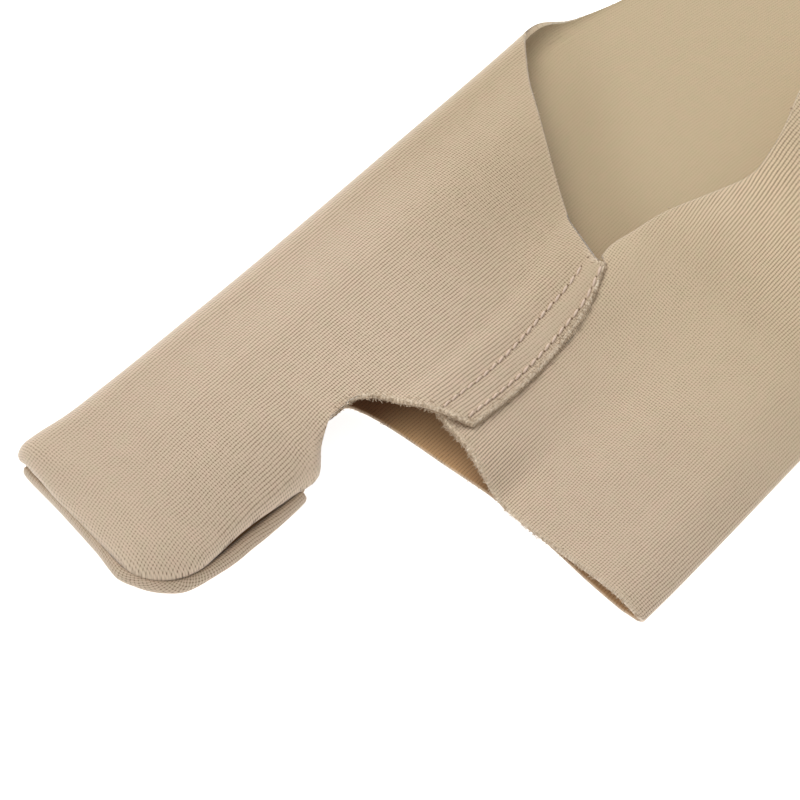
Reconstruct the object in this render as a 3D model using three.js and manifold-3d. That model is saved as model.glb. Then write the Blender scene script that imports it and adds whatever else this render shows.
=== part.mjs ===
// Bunion corrector sleeve: one cut of thin stretch knit, folded along the inner and outer sides of the foot,
// lapped and sewn on the instep, with a closed sheath for the big toe. It lies flat on its sole layer.
//
// Millimetres. x runs from toe to heel, +y is the big-toe (medial) side, z is up, the floor is z = 0.
import * as THREE from 'three';
import Module from 'manifold-3d';

// Cloth
const CLOTH = 1.2; // thickness of the knit
const HALF = CLOTH / 2;
const SOLE_Z = HALF; // middle of the sole layer
const LAP_RISE = 1.9; // how far the lap's upper ply lies above the lower one, middle to middle
const LAP_WIDTH = 9.2; // overlap of the two plies
const STITCH_ROWS = [1.9, 6.6]; // the two sewn rows, measured in from the lap's cut edge
const SEWN_WIDTH = 0.8;

// Length
const REAR_X = 96; // plain cut end, square across
const LAP_REAR_X = 6.3; // point of the V behind the lap
const CUT_OUT_X = -52.5; // deepest point of the cut-out beside the toe
const SEAM_END_X = -63.5; // rear end of the toe seam

// Toe sheath
const TIP_MEDIAL = { x: -94.3, y: 49.5 };
const TIP_LATERAL = { x: -97.4, y: 22.2 };
const TOE_CORNER = 11; // radius of the tip's outer corner
const TOE_SIDE = { frontX: -80, frontY: 11.2, rearY: 9.9 }; // sewn line along the toe's outer side
const TOE_SEAM_Z = 2.4; // middle of the upper layer at its seam
const CUT_OUT_TOP = { y: 13.0, lug: 1.9 }; // the cut-out in the upper layer, with the free corner beside it
const CUT_OUT_SOLE = { y: 19.0, lug: 0 }; // and in the sole layer
const LUG = { x: -60.4, half: 2.6 }; // where the free corner stands out past the seam, and its half length
const SIDE_SHOULDER = 10; // width of the rounding along the toe's side
const TIP_SHOULDER = 7; // and along its tip
const PINCH = 2.2; // length over which the medial fold closes at the tip
const PINCHED_BEND = 0.9;
const SEAM_LIP = { tipOut: 0.2, tipHalf: 1.0, sideOut: 0.7, sideHalf: 1.5, z: 1.4, halfHeight: 1.38 };

// Grid: steps along the length, and steps of each girth zone
const ROWS = { toe: 15, front: 9, rear: 13 };
const STEPS = { flap: 7, toeTop: 7, medialBend: 6, toeSole: 4, sole: 6, lateralBend: 6, panel: 9, tongue: 2 };
const CROWDING = 1.8; // how far the steps crowd towards the cut-out, where the edges turn sharply

const table = (columns, rows) =>
  Object.fromEntries(columns.map((name, c) => [name, rows.map((row) => row[c])]));

// Outermost line of the two side folds, and the radius of each bend
const MEDIAL_SIDE = table(['x', 'y', 'bend'], [
  [-95, 51.8, 3.3],
  [-78, 50.0, 4.1],
  [-50, 48.8, 4.6],
  [0, 48.2, 4.4],
  [39, 48.5, 3.7],
  [48, 46.4, 3.6],
  [60, 42.6, 3.6],
  [96, 36.0, 3.4],
]);
const LATERAL_SIDE = table(['x', 'y', 'bend'], [
  [-43, -53.5, 2.35],
  [-20, -52.6, 2.9],
  [0, -51.8, 3.2],
  [40, -50.2, 3.5],
  [96, -48.0, 3.7],
]);

// Cut edge of the lap in front of the V, and the free edge of the lateral panel behind it
const PANEL_EDGE = table(['x', 'y'], [
  [-43, -7.1],
  [-21, -7.0],
  [-9, -6.0],
  [-2, -5.2],
  [6.3, -1.2],
  [14, -1.5],
  [21, -3.2],
  [30, -5.8],
  [41, -6.9],
  [50, -6.4],
  [59, -3.8],
  [75, -2.0],
  [96, -1.5],
]);

// Front cut of the upper medial panel, the sole and the lateral panel, and rear cut of the medial panel
const ARCH_CUT = table(['y', 'x'], [[-8, -37.6], [-0.9, -39.2], [4.6, -42.5], [9.6, -45.5], [12.2, -48.5], [13, -52.5]]);
const SOLE_CUT = table(['y', 'x'], [[-53, -41.8], [-20, -41], [6.3, -41.8], [14.5, -45], [17.4, -47.5], [19, -52.5]]);
const PANEL_CUT = table(['y', 'x'], [[-53, -42.4], [-24, -42.3], [-15.7, -41], [-11, -40], [-5, -39.6], [5, -39.4]]);
const REAR_CUT = table(['y', 'x'], [[-1.6, 6.3], [3.1, 7.2], [9.8, 10], [18.1, 14.6], [33.3, 25.5], [44, 35]]);
// Rear cut round the medial fold, by the angle on the bend: 90 is its top, -90 its bottom
const BEND_CUT = table(['angle', 'x'], [[-90, 96], [-45, 72], [-20, 54], [0, 47], [24, 42.5], [60, 38], [90, 35]]);

// Height of the upper layer's middle at lines across the foot; the share is of the way from fold to fold
const ACROSS = { crown: 0.14, arch: 0.34, seam: 0.5, slope: 0.58, foot: 0.66, valley: 0.8, ridge: 0.92 };
const SECTIONS = table(['x', ...Object.keys(ACROSS)], [
  [-97, 6.2, 6.2, 6.0, 5.0, 4.0, 4.0, 5.0],
  [-90, 8.0, 8.0, 7.6, 5.0, 4.0, 4.0, 5.0],
  [-80, 9.8, 9.8, 9.0, 6.0, 4.0, 4.0, 5.0],
  [-66, 11.1, 11.0, 10.0, 7.0, 3.0, 3.0, 5.0],
  [-52, 11.7, 11.6, 10.6, 7.6, 2.8, 2.3, 4.8],
  [-41, 11.9, 11.8, 10.4, 7.6, 2.8, 2.3, 4.8],
  [-24, 12.2, 10.8, 7.4, 5.4, 3.8, 4.0, 6.0],
  [-10, 12.2, 9.2, 6.8, 5.4, 4.6, 5.4, 7.2],
  [7, 11.6, 8.6, 11.6, 10.4, 9.4, 9.0, 8.6],
  [22, 10.6, 8.0, 14.2, 14.2, 13.0, 11.2, 9.6],
  [41, 9.0, 8.5, 10.0, 10.4, 10.6, 10.4, 9.4],
  [57, 9.0, 9.0, 16.0, 15.6, 14.8, 13.0, 10.6],
  [70, 9.0, 9.0, 19.0, 18.4, 17.2, 14.6, 11.4],
  [96, 9.0, 9.0, 19.5, 19.0, 17.8, 15.0, 11.8],
]);

const { clamp, degToRad, lerp, smoothstep } = THREE.MathUtils;

// Slope of a smooth curve at knot i: the weighted mean of its neighbours' slopes, flat where it turns.
function knotSlope(knots, values, i, endSlope) {
  const rise = (k) => (values[k + 1] - values[k]) / (knots[k + 1] - knots[k]);
  const last = knots.length - 1;
  if (i === 0 || i === last) return endSlope ?? rise(i === 0 ? 0 : last - 1);
  const [before, after] = [rise(i - 1), rise(i)];
  if (before * after <= 0) return 0;
  const [back, ahead] = [knots[i] - knots[i - 1], knots[i + 1] - knots[i]];
  const mean = (before * ahead + after * back) / (back + ahead);
  return Math.sign(mean) * Math.min(Math.abs(mean), 3 * Math.min(Math.abs(before), Math.abs(after)));
}

// Cubic curve through the values at the knots, which never overshoots them.
function curveAt(at, knots, values, endSlope) {
  const next = knots.findIndex((k) => k > at);
  const i = next < 0 ? knots.length - 2 : Math.max(next - 1, 0);
  const span = knots[i + 1] - knots[i];
  const q = clamp((at - knots[i]) / span, 0, 1);
  const [m0, m1] = [i, i + 1].map((k) => knotSlope(knots, values, k, endSlope) * span);
  const p = 1 - q;
  return (1 + 2 * q) * p * p * values[i] + q * p * p * m0 + q * q * (3 - 2 * q) * values[i + 1] - q * q * p * m1;
}

// Quarter-ellipse rise from 0 at an edge to 1 at the given width.
const shoulder = (distance, width) => Math.sqrt(1 - (1 - clamp(distance / width, 0, 1)) ** 2);

const medialY = (x) => curveAt(x, MEDIAL_SIDE.x, MEDIAL_SIDE.y);
const lateralY = (x) => curveAt(x, LATERAL_SIDE.x, LATERAL_SIDE.y);
const lateralBend = (x) => curveAt(x, LATERAL_SIDE.x, LATERAL_SIDE.bend);
const panelEdgeY = (x) => curveAt(x, PANEL_EDGE.x, PANEL_EDGE.y);
const lapEdgeY = (x) => panelEdgeY(Math.min(x, LAP_REAR_X));

// The medial bend is pinched shut by the seam at the toe's tip.
function medialBend(x) {
  const open = curveAt(x, MEDIAL_SIDE.x, MEDIAL_SIDE.bend);
  return lerp(PINCHED_BEND, open, shoulder(x - TIP_MEDIAL.x, PINCH));
}

// The toe's outer line: cut-out, free corner, sewn side and rounded tip corner.
function toeSideY(x, cutOut) {
  const forward = smoothstep(CUT_OUT_X - x, 0, CUT_OUT_X - SEAM_END_X);
  const sewn = lerp(TOE_SIDE.frontY, TOE_SIDE.rearY, smoothstep(x, TOE_SIDE.frontX, SEAM_END_X));
  const lug = cutOut.lug * Math.exp(-(((x - LUG.x) / LUG.half) ** 2)) * smoothstep(forward, 0, 0.3);
  const turn = clamp((TIP_LATERAL.x + TOE_CORNER - x) / TOE_CORNER, 0, 1);
  const corner = TOE_CORNER * (1 - Math.sqrt(1 - turn * turn));
  return lerp(cutOut.y, sewn, forward) - lug + corner;
}

// Height of the upper layer's middle; tipDistance is how far the point lies behind the toe's tip seam.
function upperZ(x, y, tipDistance = Infinity) {
  const medialTop = medialY(x) - medialBend(x);
  const lateralTop = lateralY(x) + lateralBend(x);
  const share = clamp((medialTop - y) / (medialTop - lateralTop), 0, 1);
  const lines = Object.keys(ACROSS).map((name) => curveAt(x, SECTIONS.x, SECTIONS[name]));
  const heights = [SOLE_Z + 2 * medialBend(x), ...lines, SOLE_Z + 2 * lateralBend(x)];
  const open = curveAt(share, [0, ...Object.values(ACROSS), 1], heights, 0);
  if (x > CUT_OUT_X) return open;
  const freed = smoothstep(x, SEAM_END_X - 1, CUT_OUT_X);
  const side = lerp(shoulder(y - toeSideY(x, CUT_OUT_TOP), SIDE_SHOULDER), 1, freed);
  return lerp(TOE_SEAM_Z, open, side * shoulder(tipDistance, TIP_SHOULDER));
}

// The upper ply of the lap rises over the lower ply's hidden edge.
function flapZ(x, y) {
  const hiddenEdge = lapEdgeY(x) + LAP_WIDTH;
  return upperZ(x, y) + LAP_RISE * (1 - smoothstep(y, hiddenEdge, hiddenEdge + 5));
}

// Girth zones in order round the cloth, from the lap's cut edge to the hidden edge under it. Each gives the
// ends of its length (tip where it has toe rows, front, rear) and its point at x, for a share f across it.
const tipX = (f) => lerp(TIP_LATERAL.x, TIP_MEDIAL.x, f);
const medialTopY = (x) => medialY(x) - medialBend(x);
const lateralTopY = (x) => lateralY(x) + lateralBend(x);
const cutAt = (cut, y) => curveAt(y, cut.y, cut.x);
const bendAngle = (f) => lerp(90, -90, f);

const ZONES = {
  flap: {
    front: (f) => cutAt(ARCH_CUT, lerp(lapEdgeY(CUT_OUT_X), CUT_OUT_TOP.y, f)),
    rear: (f) => cutAt(REAR_CUT, lerp(lapEdgeY(LAP_REAR_X), CUT_OUT_TOP.y, f)),
    point: (f, x) => {
      const y = lerp(lapEdgeY(x), CUT_OUT_TOP.y, f);
      return [y, flapZ(x, y)];
    },
  },
  toeTop: {
    tip: tipX,
    front: () => CUT_OUT_X,
    rear: (f) => cutAt(REAR_CUT, lerp(CUT_OUT_TOP.y, medialTopY(REAR_CUT.x[4]), f)),
    point: (f, x) => {
      const y = lerp(toeSideY(x, CUT_OUT_TOP), medialTopY(x), f);
      return [y, x > CUT_OUT_X ? flapZ(x, y) : upperZ(x, y, x - tipX(f))];
    },
  },
  medialBend: {
    tip: () => TIP_MEDIAL.x,
    front: () => CUT_OUT_X,
    rear: (f) => curveAt(bendAngle(f), BEND_CUT.angle, BEND_CUT.x),
    point: (f, x) => {
      const [r, a] = [medialBend(x), degToRad(bendAngle(f))];
      return [medialTopY(x) + r * Math.cos(a), SOLE_Z + r + r * Math.sin(a)];
    },
  },
  toeSole: {
    tip: (f) => tipX(1 - f),
    front: () => CUT_OUT_X,
    rear: () => REAR_X,
    point: (f, x) => [lerp(medialTopY(x), toeSideY(x, CUT_OUT_SOLE), f), SOLE_Z],
  },
  sole: {
    front: (f) => cutAt(SOLE_CUT, lerp(CUT_OUT_SOLE.y, lateralTopY(CUT_OUT_X), f)),
    rear: () => REAR_X,
    point: (f, x) => [lerp(CUT_OUT_SOLE.y, lateralTopY(x), f), SOLE_Z],
  },
  lateralBend: {
    front: () => SOLE_CUT.x[0],
    rear: () => REAR_X,
    point: (f, x) => {
      const [r, a] = [lateralBend(x), degToRad(bendAngle(1 - f))];
      return [lateralTopY(x) - r * Math.cos(a), SOLE_Z + r + r * Math.sin(a)];
    },
  },
  panel: {
    front: (f) => cutAt(PANEL_CUT, lerp(lateralTopY(CUT_OUT_X), panelEdgeY(CUT_OUT_X), f)),
    rear: () => REAR_X,
    point: (f, x) => {
      const y = lerp(lateralTopY(x), panelEdgeY(x), f);
      return [y, upperZ(x, y)];
    },
  },
  tongue: {
    front: (f) => cutAt(PANEL_CUT, lapEdgeY(CUT_OUT_X) + f * LAP_WIDTH),
    rear: () => LAP_REAR_X,
    point: (f, x) => {
      const y = lapEdgeY(x) + f * LAP_WIDTH;
      return [y, upperZ(x, y)];
    },
  },
};

// One girth column: its points from tip or front to rear, row by row.
function columnPoints(zone, f) {
  const [front, rear] = [zone.front(f), zone.rear(f)];
  const knee = Math.min(LAP_REAR_X, lerp(front, rear, 0.6));
  const xs = [];
  for (let r = 0; r < ROWS.toe; r++) {
    const q = r / ROWS.toe;
    xs.push(zone.tip ? lerp(zone.tip(f), front, q - Math.sin(2 * Math.PI * q) / 10) : null);
  }
  for (let r = 0; r < ROWS.front; r++) xs.push(lerp(front, knee, r / ROWS.front));
  const rearRows = zone === ZONES.tongue ? 0 : ROWS.rear;
  for (let r = 0; r <= rearRows; r++) xs.push(rearRows ? lerp(knee, rear, r / rearRows) : knee);
  return xs.map((x) => (x === null ? null : new THREE.Vector3(x, ...zone.point(f, x))));
}

// Share across a zone at an even step, crowded towards the cut-out on either side of it.
function crowded(name, step) {
  if (name === 'flap') return 1 - (1 - step) ** CROWDING;
  return name === 'sole' ? step ** CROWDING : step;
}

// Every girth column in order; neighbouring zones share the column between them, which keeps the toe's rows.
function clothColumns() {
  const columns = [];
  for (const [name, zone] of Object.entries(ZONES)) {
    const steps = STEPS[name];
    const first = columns.length === 0 || zone === ZONES.toeTop ? 0 : 1;
    if (zone === ZONES.toeTop) columns.pop();
    for (let i = first; i <= steps; i++) columns.push(columnPoints(zone, crowded(name, i / steps)));
  }
  return columns;
}

// Indexed middle surface of the cloth: a quad wherever two neighbouring columns both hold two rows.
function middleSurface(columns) {
  const vertices = [];
  const ids = columns.map((column) => column.map((point) => (point ? vertices.push(point) - 1 : -1)));
  const triangles = [];
  for (let c = 0; c + 1 < ids.length; c++) {
    const rows = Math.min(ids[c].length, ids[c + 1].length);
    for (let r = 0; r + 1 < rows; r++) {
      const quad = [ids[c][r], ids[c][r + 1], ids[c + 1][r + 1], ids[c + 1][r]];
      if (quad.includes(-1)) continue;
      triangles.push([quad[0], quad[1], quad[2]], [quad[0], quad[2], quad[3]]);
    }
  }
  return { vertices, triangles };
}

// Unit normals at the vertices, from the faces round each one.
function vertexNormals({ vertices, triangles }) {
  const normals = vertices.map(() => new THREE.Vector3());
  for (const [a, b, c] of triangles) {
    const ab = vertices[b].clone().sub(vertices[a]);
    const face = ab.cross(vertices[c].clone().sub(vertices[a]));
    for (const i of [a, b, c]) normals[i].add(face);
  }
  return normals.map((n) => n.normalize());
}

// Closed wall of even thickness about a middle surface, with a flat rim along every free edge.
function thicken(surface) {
  const normals = vertexNormals(surface);
  const count = surface.vertices.length;
  const offset = (side) => surface.vertices.map((v, i) => v.clone().addScaledVector(normals[i], side * HALF));
  const triangles = [];
  const open = new Map();
  for (const [a, b, c] of surface.triangles) {
    triangles.push([a, b, c], [a + count, c + count, b + count]);
    for (const [from, to] of [[a, b], [b, c], [c, a]]) {
      if (!open.delete(`${to},${from}`)) open.set(`${from},${to}`, [from, to]);
    }
  }
  for (const [from, to] of open.values()) {
    triangles.push([to, from, from + count], [to, from + count, to + count]);
  }
  return { vertices: [...offset(1), ...offset(-1)], triangles };
}

// Closed bar along a path: one ring of points per station, each ring in the same order, with flat ends.
function barThrough(rings) {
  const sides = rings[0].length;
  const triangles = [];
  for (let s = 0; s + 1 < rings.length; s++) {
    for (let i = 0; i < sides; i++) {
      const j = (i + 1) % sides;
      const [a, b] = [s * sides + i, s * sides + j];
      triangles.push([a, b, b + sides], [a, b + sides, a + sides]);
    }
  }
  const end = (rings.length - 1) * sides;
  for (let i = 1; i + 1 < sides; i++) {
    triangles.push([0, i + 1, i], [end, end + i, end + i + 1]);
  }
  return { vertices: rings.flat(), triangles };
}

// Turned seam along the toe's tip, corner and outer side: an oval lip that joins the two layers.
function seamLip() {
  const line = [];
  for (let i = 0; i <= 8; i++) {
    const f = 1 - i / 9;
    line.push({ x: tipX(f), y: lerp(TIP_LATERAL.y, TIP_MEDIAL.y, f), side: 0, turn: 0 });
  }
  for (let i = 0; i <= 7; i++) {
    const turn = (i / 7) * (Math.PI / 2);
    const x = TIP_LATERAL.x + TOE_CORNER * (1 - Math.cos(turn));
    line.push({ x, y: TIP_LATERAL.y - TOE_CORNER * Math.sin(turn), side: 0.85 * (i / 7), turn });
  }
  for (let i = 1; i <= 6; i++) {
    const q = i / 6;
    const x = lerp(TIP_LATERAL.x + TOE_CORNER, SEAM_END_X, q);
    const y = lerp(TOE_SIDE.frontY, TOE_SIDE.rearY, smoothstep(x, TOE_SIDE.frontX, SEAM_END_X));
    line.push({ x, y, side: 0.85 + 0.75 * q - 1.05 * q * q, turn: Math.PI / 2 });
  }
  const sides = 10;
  const rings = line.map(({ x, y, side, turn }) => {
    const out = lerp(SEAM_LIP.tipOut, SEAM_LIP.sideOut, side);
    const half = lerp(SEAM_LIP.tipHalf, SEAM_LIP.sideHalf, side);
    return Array.from({ length: sides }, (_, i) => {
      const a = (-i / sides) * 2 * Math.PI;
      const across = out + half * Math.cos(a);
      const z = SEAM_LIP.z + SEAM_LIP.halfHeight * Math.sin(a);
      return new THREE.Vector3(x - across * Math.cos(turn), y - across * Math.sin(turn), z);
    });
  });
  return barThrough(rings);
}

// Sewn row of the lap: a narrow bar that joins the two plies along one line of stitches.
function sewnRow(inset) {
  const steps = 14;
  const rings = Array.from({ length: steps + 1 }, (_, i) => {
    const x = lerp(ARCH_CUT.x[0] + 1.2, LAP_REAR_X - 1.2, i / steps);
    const y = lapEdgeY(x) + inset;
    const [low, high] = [upperZ(x, y), flapZ(x, y)];
    const [near, far] = [y - SEWN_WIDTH / 2, y + SEWN_WIDTH / 2];
    return [[near, low], [far, low], [far, high], [near, high]].map(([py, pz]) => new THREE.Vector3(x, py, pz));
  });
  return barThrough(rings);
}

const wasm = await Module();
wasm.setup();

// Solid for joining, from vertices and triangles.
function solidOf({ vertices, triangles }) {
  const vertProperties = new Float32Array(vertices.flatMap((v) => [v.x, v.y, v.z]));
  const triVerts = new Uint32Array(triangles.flat());
  return new wasm.Manifold(new wasm.Mesh({ numProp: 3, vertProperties, triVerts }));
}

// Geometry of a joined solid, moved so that the middle of its box stands on the origin.
function geometryOf(solid) {
  const mesh = solid.getMesh();
  const geometry = new THREE.BufferGeometry();
  geometry.setAttribute('position', new THREE.BufferAttribute(mesh.vertProperties, 3));
  geometry.setIndex(new THREE.BufferAttribute(mesh.triVerts, 1));
  geometry.computeBoundingBox();
  const middle = geometry.boundingBox.getCenter(new THREE.Vector3());
  geometry.translate(-middle.x, -middle.y, -geometry.boundingBox.min.z);
  geometry.computeVertexNormals();
  return geometry;
}

const sheet = solidOf(thicken(middleSurface(clothColumns())));
const joins = [seamLip(), ...STITCH_ROWS.map(sewnRow)].map(solidOf);
const sewn = joins.reduce((whole, piece) => whole.add(piece), sheet);

const knit = new THREE.MeshStandardMaterial({ color: 0xc5b29a, roughness: 0.92, metalness: 0 });
const sleeve = new THREE.Mesh(geometryOf(sewn), knit);
sleeve.name = 'sleeve';

const corrector = new THREE.Group();
corrector.add(sleeve);

export default corrector;
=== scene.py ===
"""Looks of a soft knit bunion-corrector sleeve that lies flat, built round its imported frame.

Sizes are in millimetres until a mesh is made. x runs from toe to heel, +y is the big-toe side, z is up.
"""

import logging
import math
from dataclasses import dataclass, field
from enum import Enum, auto

import bpy
import numpy as np
from mathutils import Matrix, Vector


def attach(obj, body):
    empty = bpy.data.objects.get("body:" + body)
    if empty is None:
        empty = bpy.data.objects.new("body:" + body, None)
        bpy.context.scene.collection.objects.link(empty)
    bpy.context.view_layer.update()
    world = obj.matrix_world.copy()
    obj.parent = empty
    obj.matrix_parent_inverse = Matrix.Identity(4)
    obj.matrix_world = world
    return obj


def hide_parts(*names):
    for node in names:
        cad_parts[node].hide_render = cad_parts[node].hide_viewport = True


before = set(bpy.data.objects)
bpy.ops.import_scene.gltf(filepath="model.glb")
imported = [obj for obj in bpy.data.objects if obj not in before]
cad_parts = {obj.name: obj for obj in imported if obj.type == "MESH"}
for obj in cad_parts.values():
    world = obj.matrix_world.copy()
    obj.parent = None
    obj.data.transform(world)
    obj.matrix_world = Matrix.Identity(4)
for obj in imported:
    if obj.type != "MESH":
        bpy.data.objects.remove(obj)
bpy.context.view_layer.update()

LOG = logging.getLogger("sleeve")
Array = np.ndarray
Colour = tuple[int, int, int]
Tint = tuple[float, float, float, float]
Pair = tuple[float, float]  # two ends of a range, unless its class says otherwise
Socket = bpy.types.NodeSocket
Feed = dict[str | int, object]
WHITE: Tint = (1.0, 1.0, 1.0, 1.0)
BLACK: Tint = (0.0, 0.0, 0.0, 1.0)
MM = 0.001
TINY = 1e-9
RIM_SIDE = 0.5
NODE = "sleeve"
BODY = "root"
ORIGIN = np.array([-1.288, -0.891, 0.0])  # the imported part's origin, in the sleeve's own millimetres


class Zone(Enum):
    """Girth zones of the cloth in order, from the lap's cut edge round to the hidden edge under it."""

    FLAP = auto()
    TOE_TOP = auto()
    MEDIAL_BEND = auto()
    TOE_SOLE = auto()
    SOLE = auto()
    LATERAL_BEND = auto()
    PANEL = auto()
    TONGUE = auto()


def lerp(a: Array | float, b: Array | float, t: Array | float) -> Array:
    """Straight blend from a to b."""
    return a + (b - a) * t


def smoothstep(x: Array | float, low: float, high: float) -> Array:
    """Smooth rise from 0 at low to 1 at high."""
    q = np.clip((x - low) / (high - low), 0, 1)
    return q * q * (3 - 2 * q)


def shoulder(distance: Array, width: Array | float) -> Array:
    """Quarter-ellipse rise from 0 at an edge to 1 at the given width."""
    return np.sqrt(1 - (1 - np.clip(distance / width, 0, 1)) ** 2)


def hump(x: Array | float, centre: float, half: float) -> Array:
    """Bell that is 1 at the centre and 1/e at half a width from it."""
    return np.exp(-(((x - centre) / half) ** 2))


def unit(vectors: Array) -> Array:
    """Vectors brought to length 1, along the last axis."""
    return vectors / np.maximum(np.linalg.norm(vectors, axis=-1, keepdims=True), TINY)


def ring_angles(sides: int) -> Array:
    """Even angles round a ring."""
    return np.linspace(0, 2 * math.pi, sides, endpoint=False)


def smooth_curve(
    at: Array, knots: Array, values: Array, ends: tuple[Array | float, Array | float] | None = None
) -> Array:
    """Cubic through the knots that never overshoots their values.

    Each inner knot's slope is the weighted mean of the slopes on its two sides, at most three times the
    smaller one, and zero where the values turn back.

    Args:
        at: Where the curve is read.
        knots: Rising places of the knots.
        values: Value at each knot, as one row or as one row for each place in at.
        ends: Slopes at the two ends, or None to keep the slopes of the end spans.

    Returns:
        The curve's value at each place.
    """
    at = np.asarray(at, float)
    gaps = np.diff(knots)
    rise = np.diff(values, axis=-1) / gaps
    before, after = rise[..., :-1], rise[..., 1:]
    mean = (before * gaps[1:] + after * gaps[:-1]) / (gaps[1:] + gaps[:-1])
    limit = 3 * np.minimum(np.abs(before), np.abs(after))
    inner = np.where(before * after > 0, np.sign(mean) * np.minimum(np.abs(mean), limit), 0.0)
    first, last = rise[..., :1], rise[..., -1:]
    if ends is not None:
        first, last = (np.broadcast_to(np.asarray(end)[..., None], first.shape) for end in ends)
    slopes = np.concatenate([first, inner, last], axis=-1)
    i = np.clip(np.searchsorted(knots, at, side="right") - 1, 0, len(knots) - 2)

    def pick(rows: Array, k: Array) -> Array:
        """The k-th entry of each place's own row, or of the one row."""
        return rows[k] if rows.ndim == 1 else np.take_along_axis(rows, k[..., None], -1)[..., 0]

    span = gaps[i]
    q = np.clip((at - knots[i]) / span, 0, 1)
    p = 1 - q
    start = (1 + 2 * q) * p * p * pick(values, i) + q * p * p * span * pick(slopes, i)
    return start + q * q * (3 - 2 * q) * pick(values, i + 1) - q * q * p * span * pick(slopes, i + 1)


@dataclass(frozen=True)
class Table:
    """Short table of sizes with named columns, one row for each section or fold."""

    columns: tuple[str, ...]
    rows: tuple[tuple[float, ...], ...]

    def column(self, name: str) -> Array:
        """One column as an array."""
        return np.array([row[self.columns.index(name)] for row in self.rows], float)

    def at(self, place: Array, name: str) -> Array:
        """Smooth value of a column where the first column equals place."""
        return smooth_curve(place, self.column(self.columns[0]), self.column(name))


MEDIAL_SIDE = Table(("x", "y", "bend"), (
    (-95, 52.45, 3.3), (-90, 51.95, 3.5), (-84, 50.7, 3.9), (-74, 49.85, 4.2), (-50, 48.8, 4.6),
    (0, 48.2, 4.4), (39, 48.5, 3.7), (44, 48.6, 3.7), (52, 47.2, 3.6), (61, 45.3, 3.6), (96, 38.0, 3.4),
))
LATERAL_SIDE = Table(("x", "y", "bend"), (
    (-43, -53.05, 0.8), (-34, -53.0, 0.9), (-20, -52.6, 1.0), (0, -51.8, 1.2), (40, -50.2, 1.6),
    (96, -48.0, 2.0),
))
PANEL_EDGE = Table(("x", "y"), (
    (-43, -7.1), (-30, -7.05), (-21, -6.95), (-14, -6.45), (-8, -5.7), (-3.5, -5.15), (0.2, -4.35),
    (3, -3.25), (5.1, -2.3), (6.3, -1.65), (7.2, 0.35), (9.6, 0.55), (12.1, 0.0), (14.2, -0.8),
    (17.2, -1.6), (20.4, -2.45), (27, -4.45), (33, -5.75), (37.5, -6.7), (40.5, -7.3), (43, -7.45),
    (47, -7.05), (51.5, -6.25), (58.7, -3.95), (75, -2.0), (96, -1.5),
))
STITCH_LINES = Table(("x", "lower", "upper"), (
    (-37, -5.25, -1.0), (-27, -5.1, -0.9), (-18, -4.9, -0.4), (-8, -3.95, 0.65), (-1, -3.35, 1.0),
    (4.8, -1.7, 1.7),
))
ARCH_CUT = Table(("y", "x"), (
    (-8, -35.6), (-6.5, -36.3), (-4.9, -37.0), (-3.4, -37.7), (-0.8, -38.8), (0.8, -39.8), (2.4, -40.8),
    (4.5, -41.8), (6.7, -42.8), (8.4, -43.7), (9.9, -44.7), (11.1, -46.0), (11.9, -47.4), (12.3, -49.3),
    (12.44, -52.5),
))
SOLE_CUT = Table(("y", "x"), (
    (-53, -41.8), (-49.4, -42.2), (-41, -41.9), (-32, -41.1), (-24, -40.6), (-17.8, -40.4),
    (-3.9, -41.3), (6.1, -42.0), (11.1, -42.6), (14.6, -43.4), (17, -44.6), (18.6, -48.0), (19, -52.5),
))
PANEL_CUT = Table(("y", "x"), (
    (-53, -42.2), (-30, -42.2), (-24, -42.1), (-16.2, -41.4), (-11.4, -40.5), (-8.8, -39.9),
    (-5.2, -39.4), (-1.6, -38.8), (5, -38.4),
))
REAR_CUT = Table(("y", "x"), (
    (-1.65, 6.4), (0.2, 6.1), (2.0, 6.75), (3.8, 7.5), (9.8, 10.2), (17.4, 14.8), (33.3, 25.8),
    (38.9, 30.1), (44.7, 35.6),
))
BEND_CUT = Table(("angle", "x"), (
    (-90, 80), (-75, 64), (-63, 57), (-49, 51.6), (-21, 47.4), (3, 44.1), (24, 40.9), (45, 38.7),
    (60, 37.6), (90, 35.6),
))
LIP_OUTLINE = Table(("place", "out"), (
    (0.0, 0.6), (0.12, 0.8), (0.3, 0.8), (0.5, 0.97), (0.65, 1.15), (0.82, 1.42), (0.92, 1.8),
    (1.0, 2.0), (1.1, 1.85), (1.2, 1.62), (1.5, 1.85), (1.66, 2.15), (1.8, 1.95), (1.9, 1.9),
    (2.0, 2.15), (2.1, 2.55), (2.28, 2.85), (2.45, 2.85), (2.6, 2.65), (2.8, 2.2), (3.0, 1.7),
))
RIB_LIE = Table(("x", "medial", "lateral", "medial_relief", "lateral_relief"), (
    (-97, 0.99, 1.09, 0.65, 1.2), (-88, 0.99, 1.09, 0.8, 1.2), (-80, 0.99, 1.09, 1.05, 1.2),
    (-62, 0.985, 1.09, 1.45, 1.2), (-40, 0.98, 1.09, 1.7, 1.2), (-15, 0.978, 1.09, 1.5, 1.1),
    (0, 0.975, 1.09, 1.2, 0.75), (12, 0.96, 1.05, 0.85, 0.75), (24, 0.955, 0.98, 0.7, 1.8),
    (34, 0.95, 0.9, 0.65, 2.5), (46, 0.95, 0.8, 0.6, 2.3), (56, 0.95, 0.76, 0.6, 1.1),
    (66, 0.95, 0.75, 0.6, 0.7), (96, 0.95, 0.74, 0.6, 0.7),
))
ACROSS = (0.14, 0.34, 0.5, 0.58, 0.66, 0.8, 0.92)
LINES = ("crown", "arch", "seam", "slope", "foot", "valley", "ridge")
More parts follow.
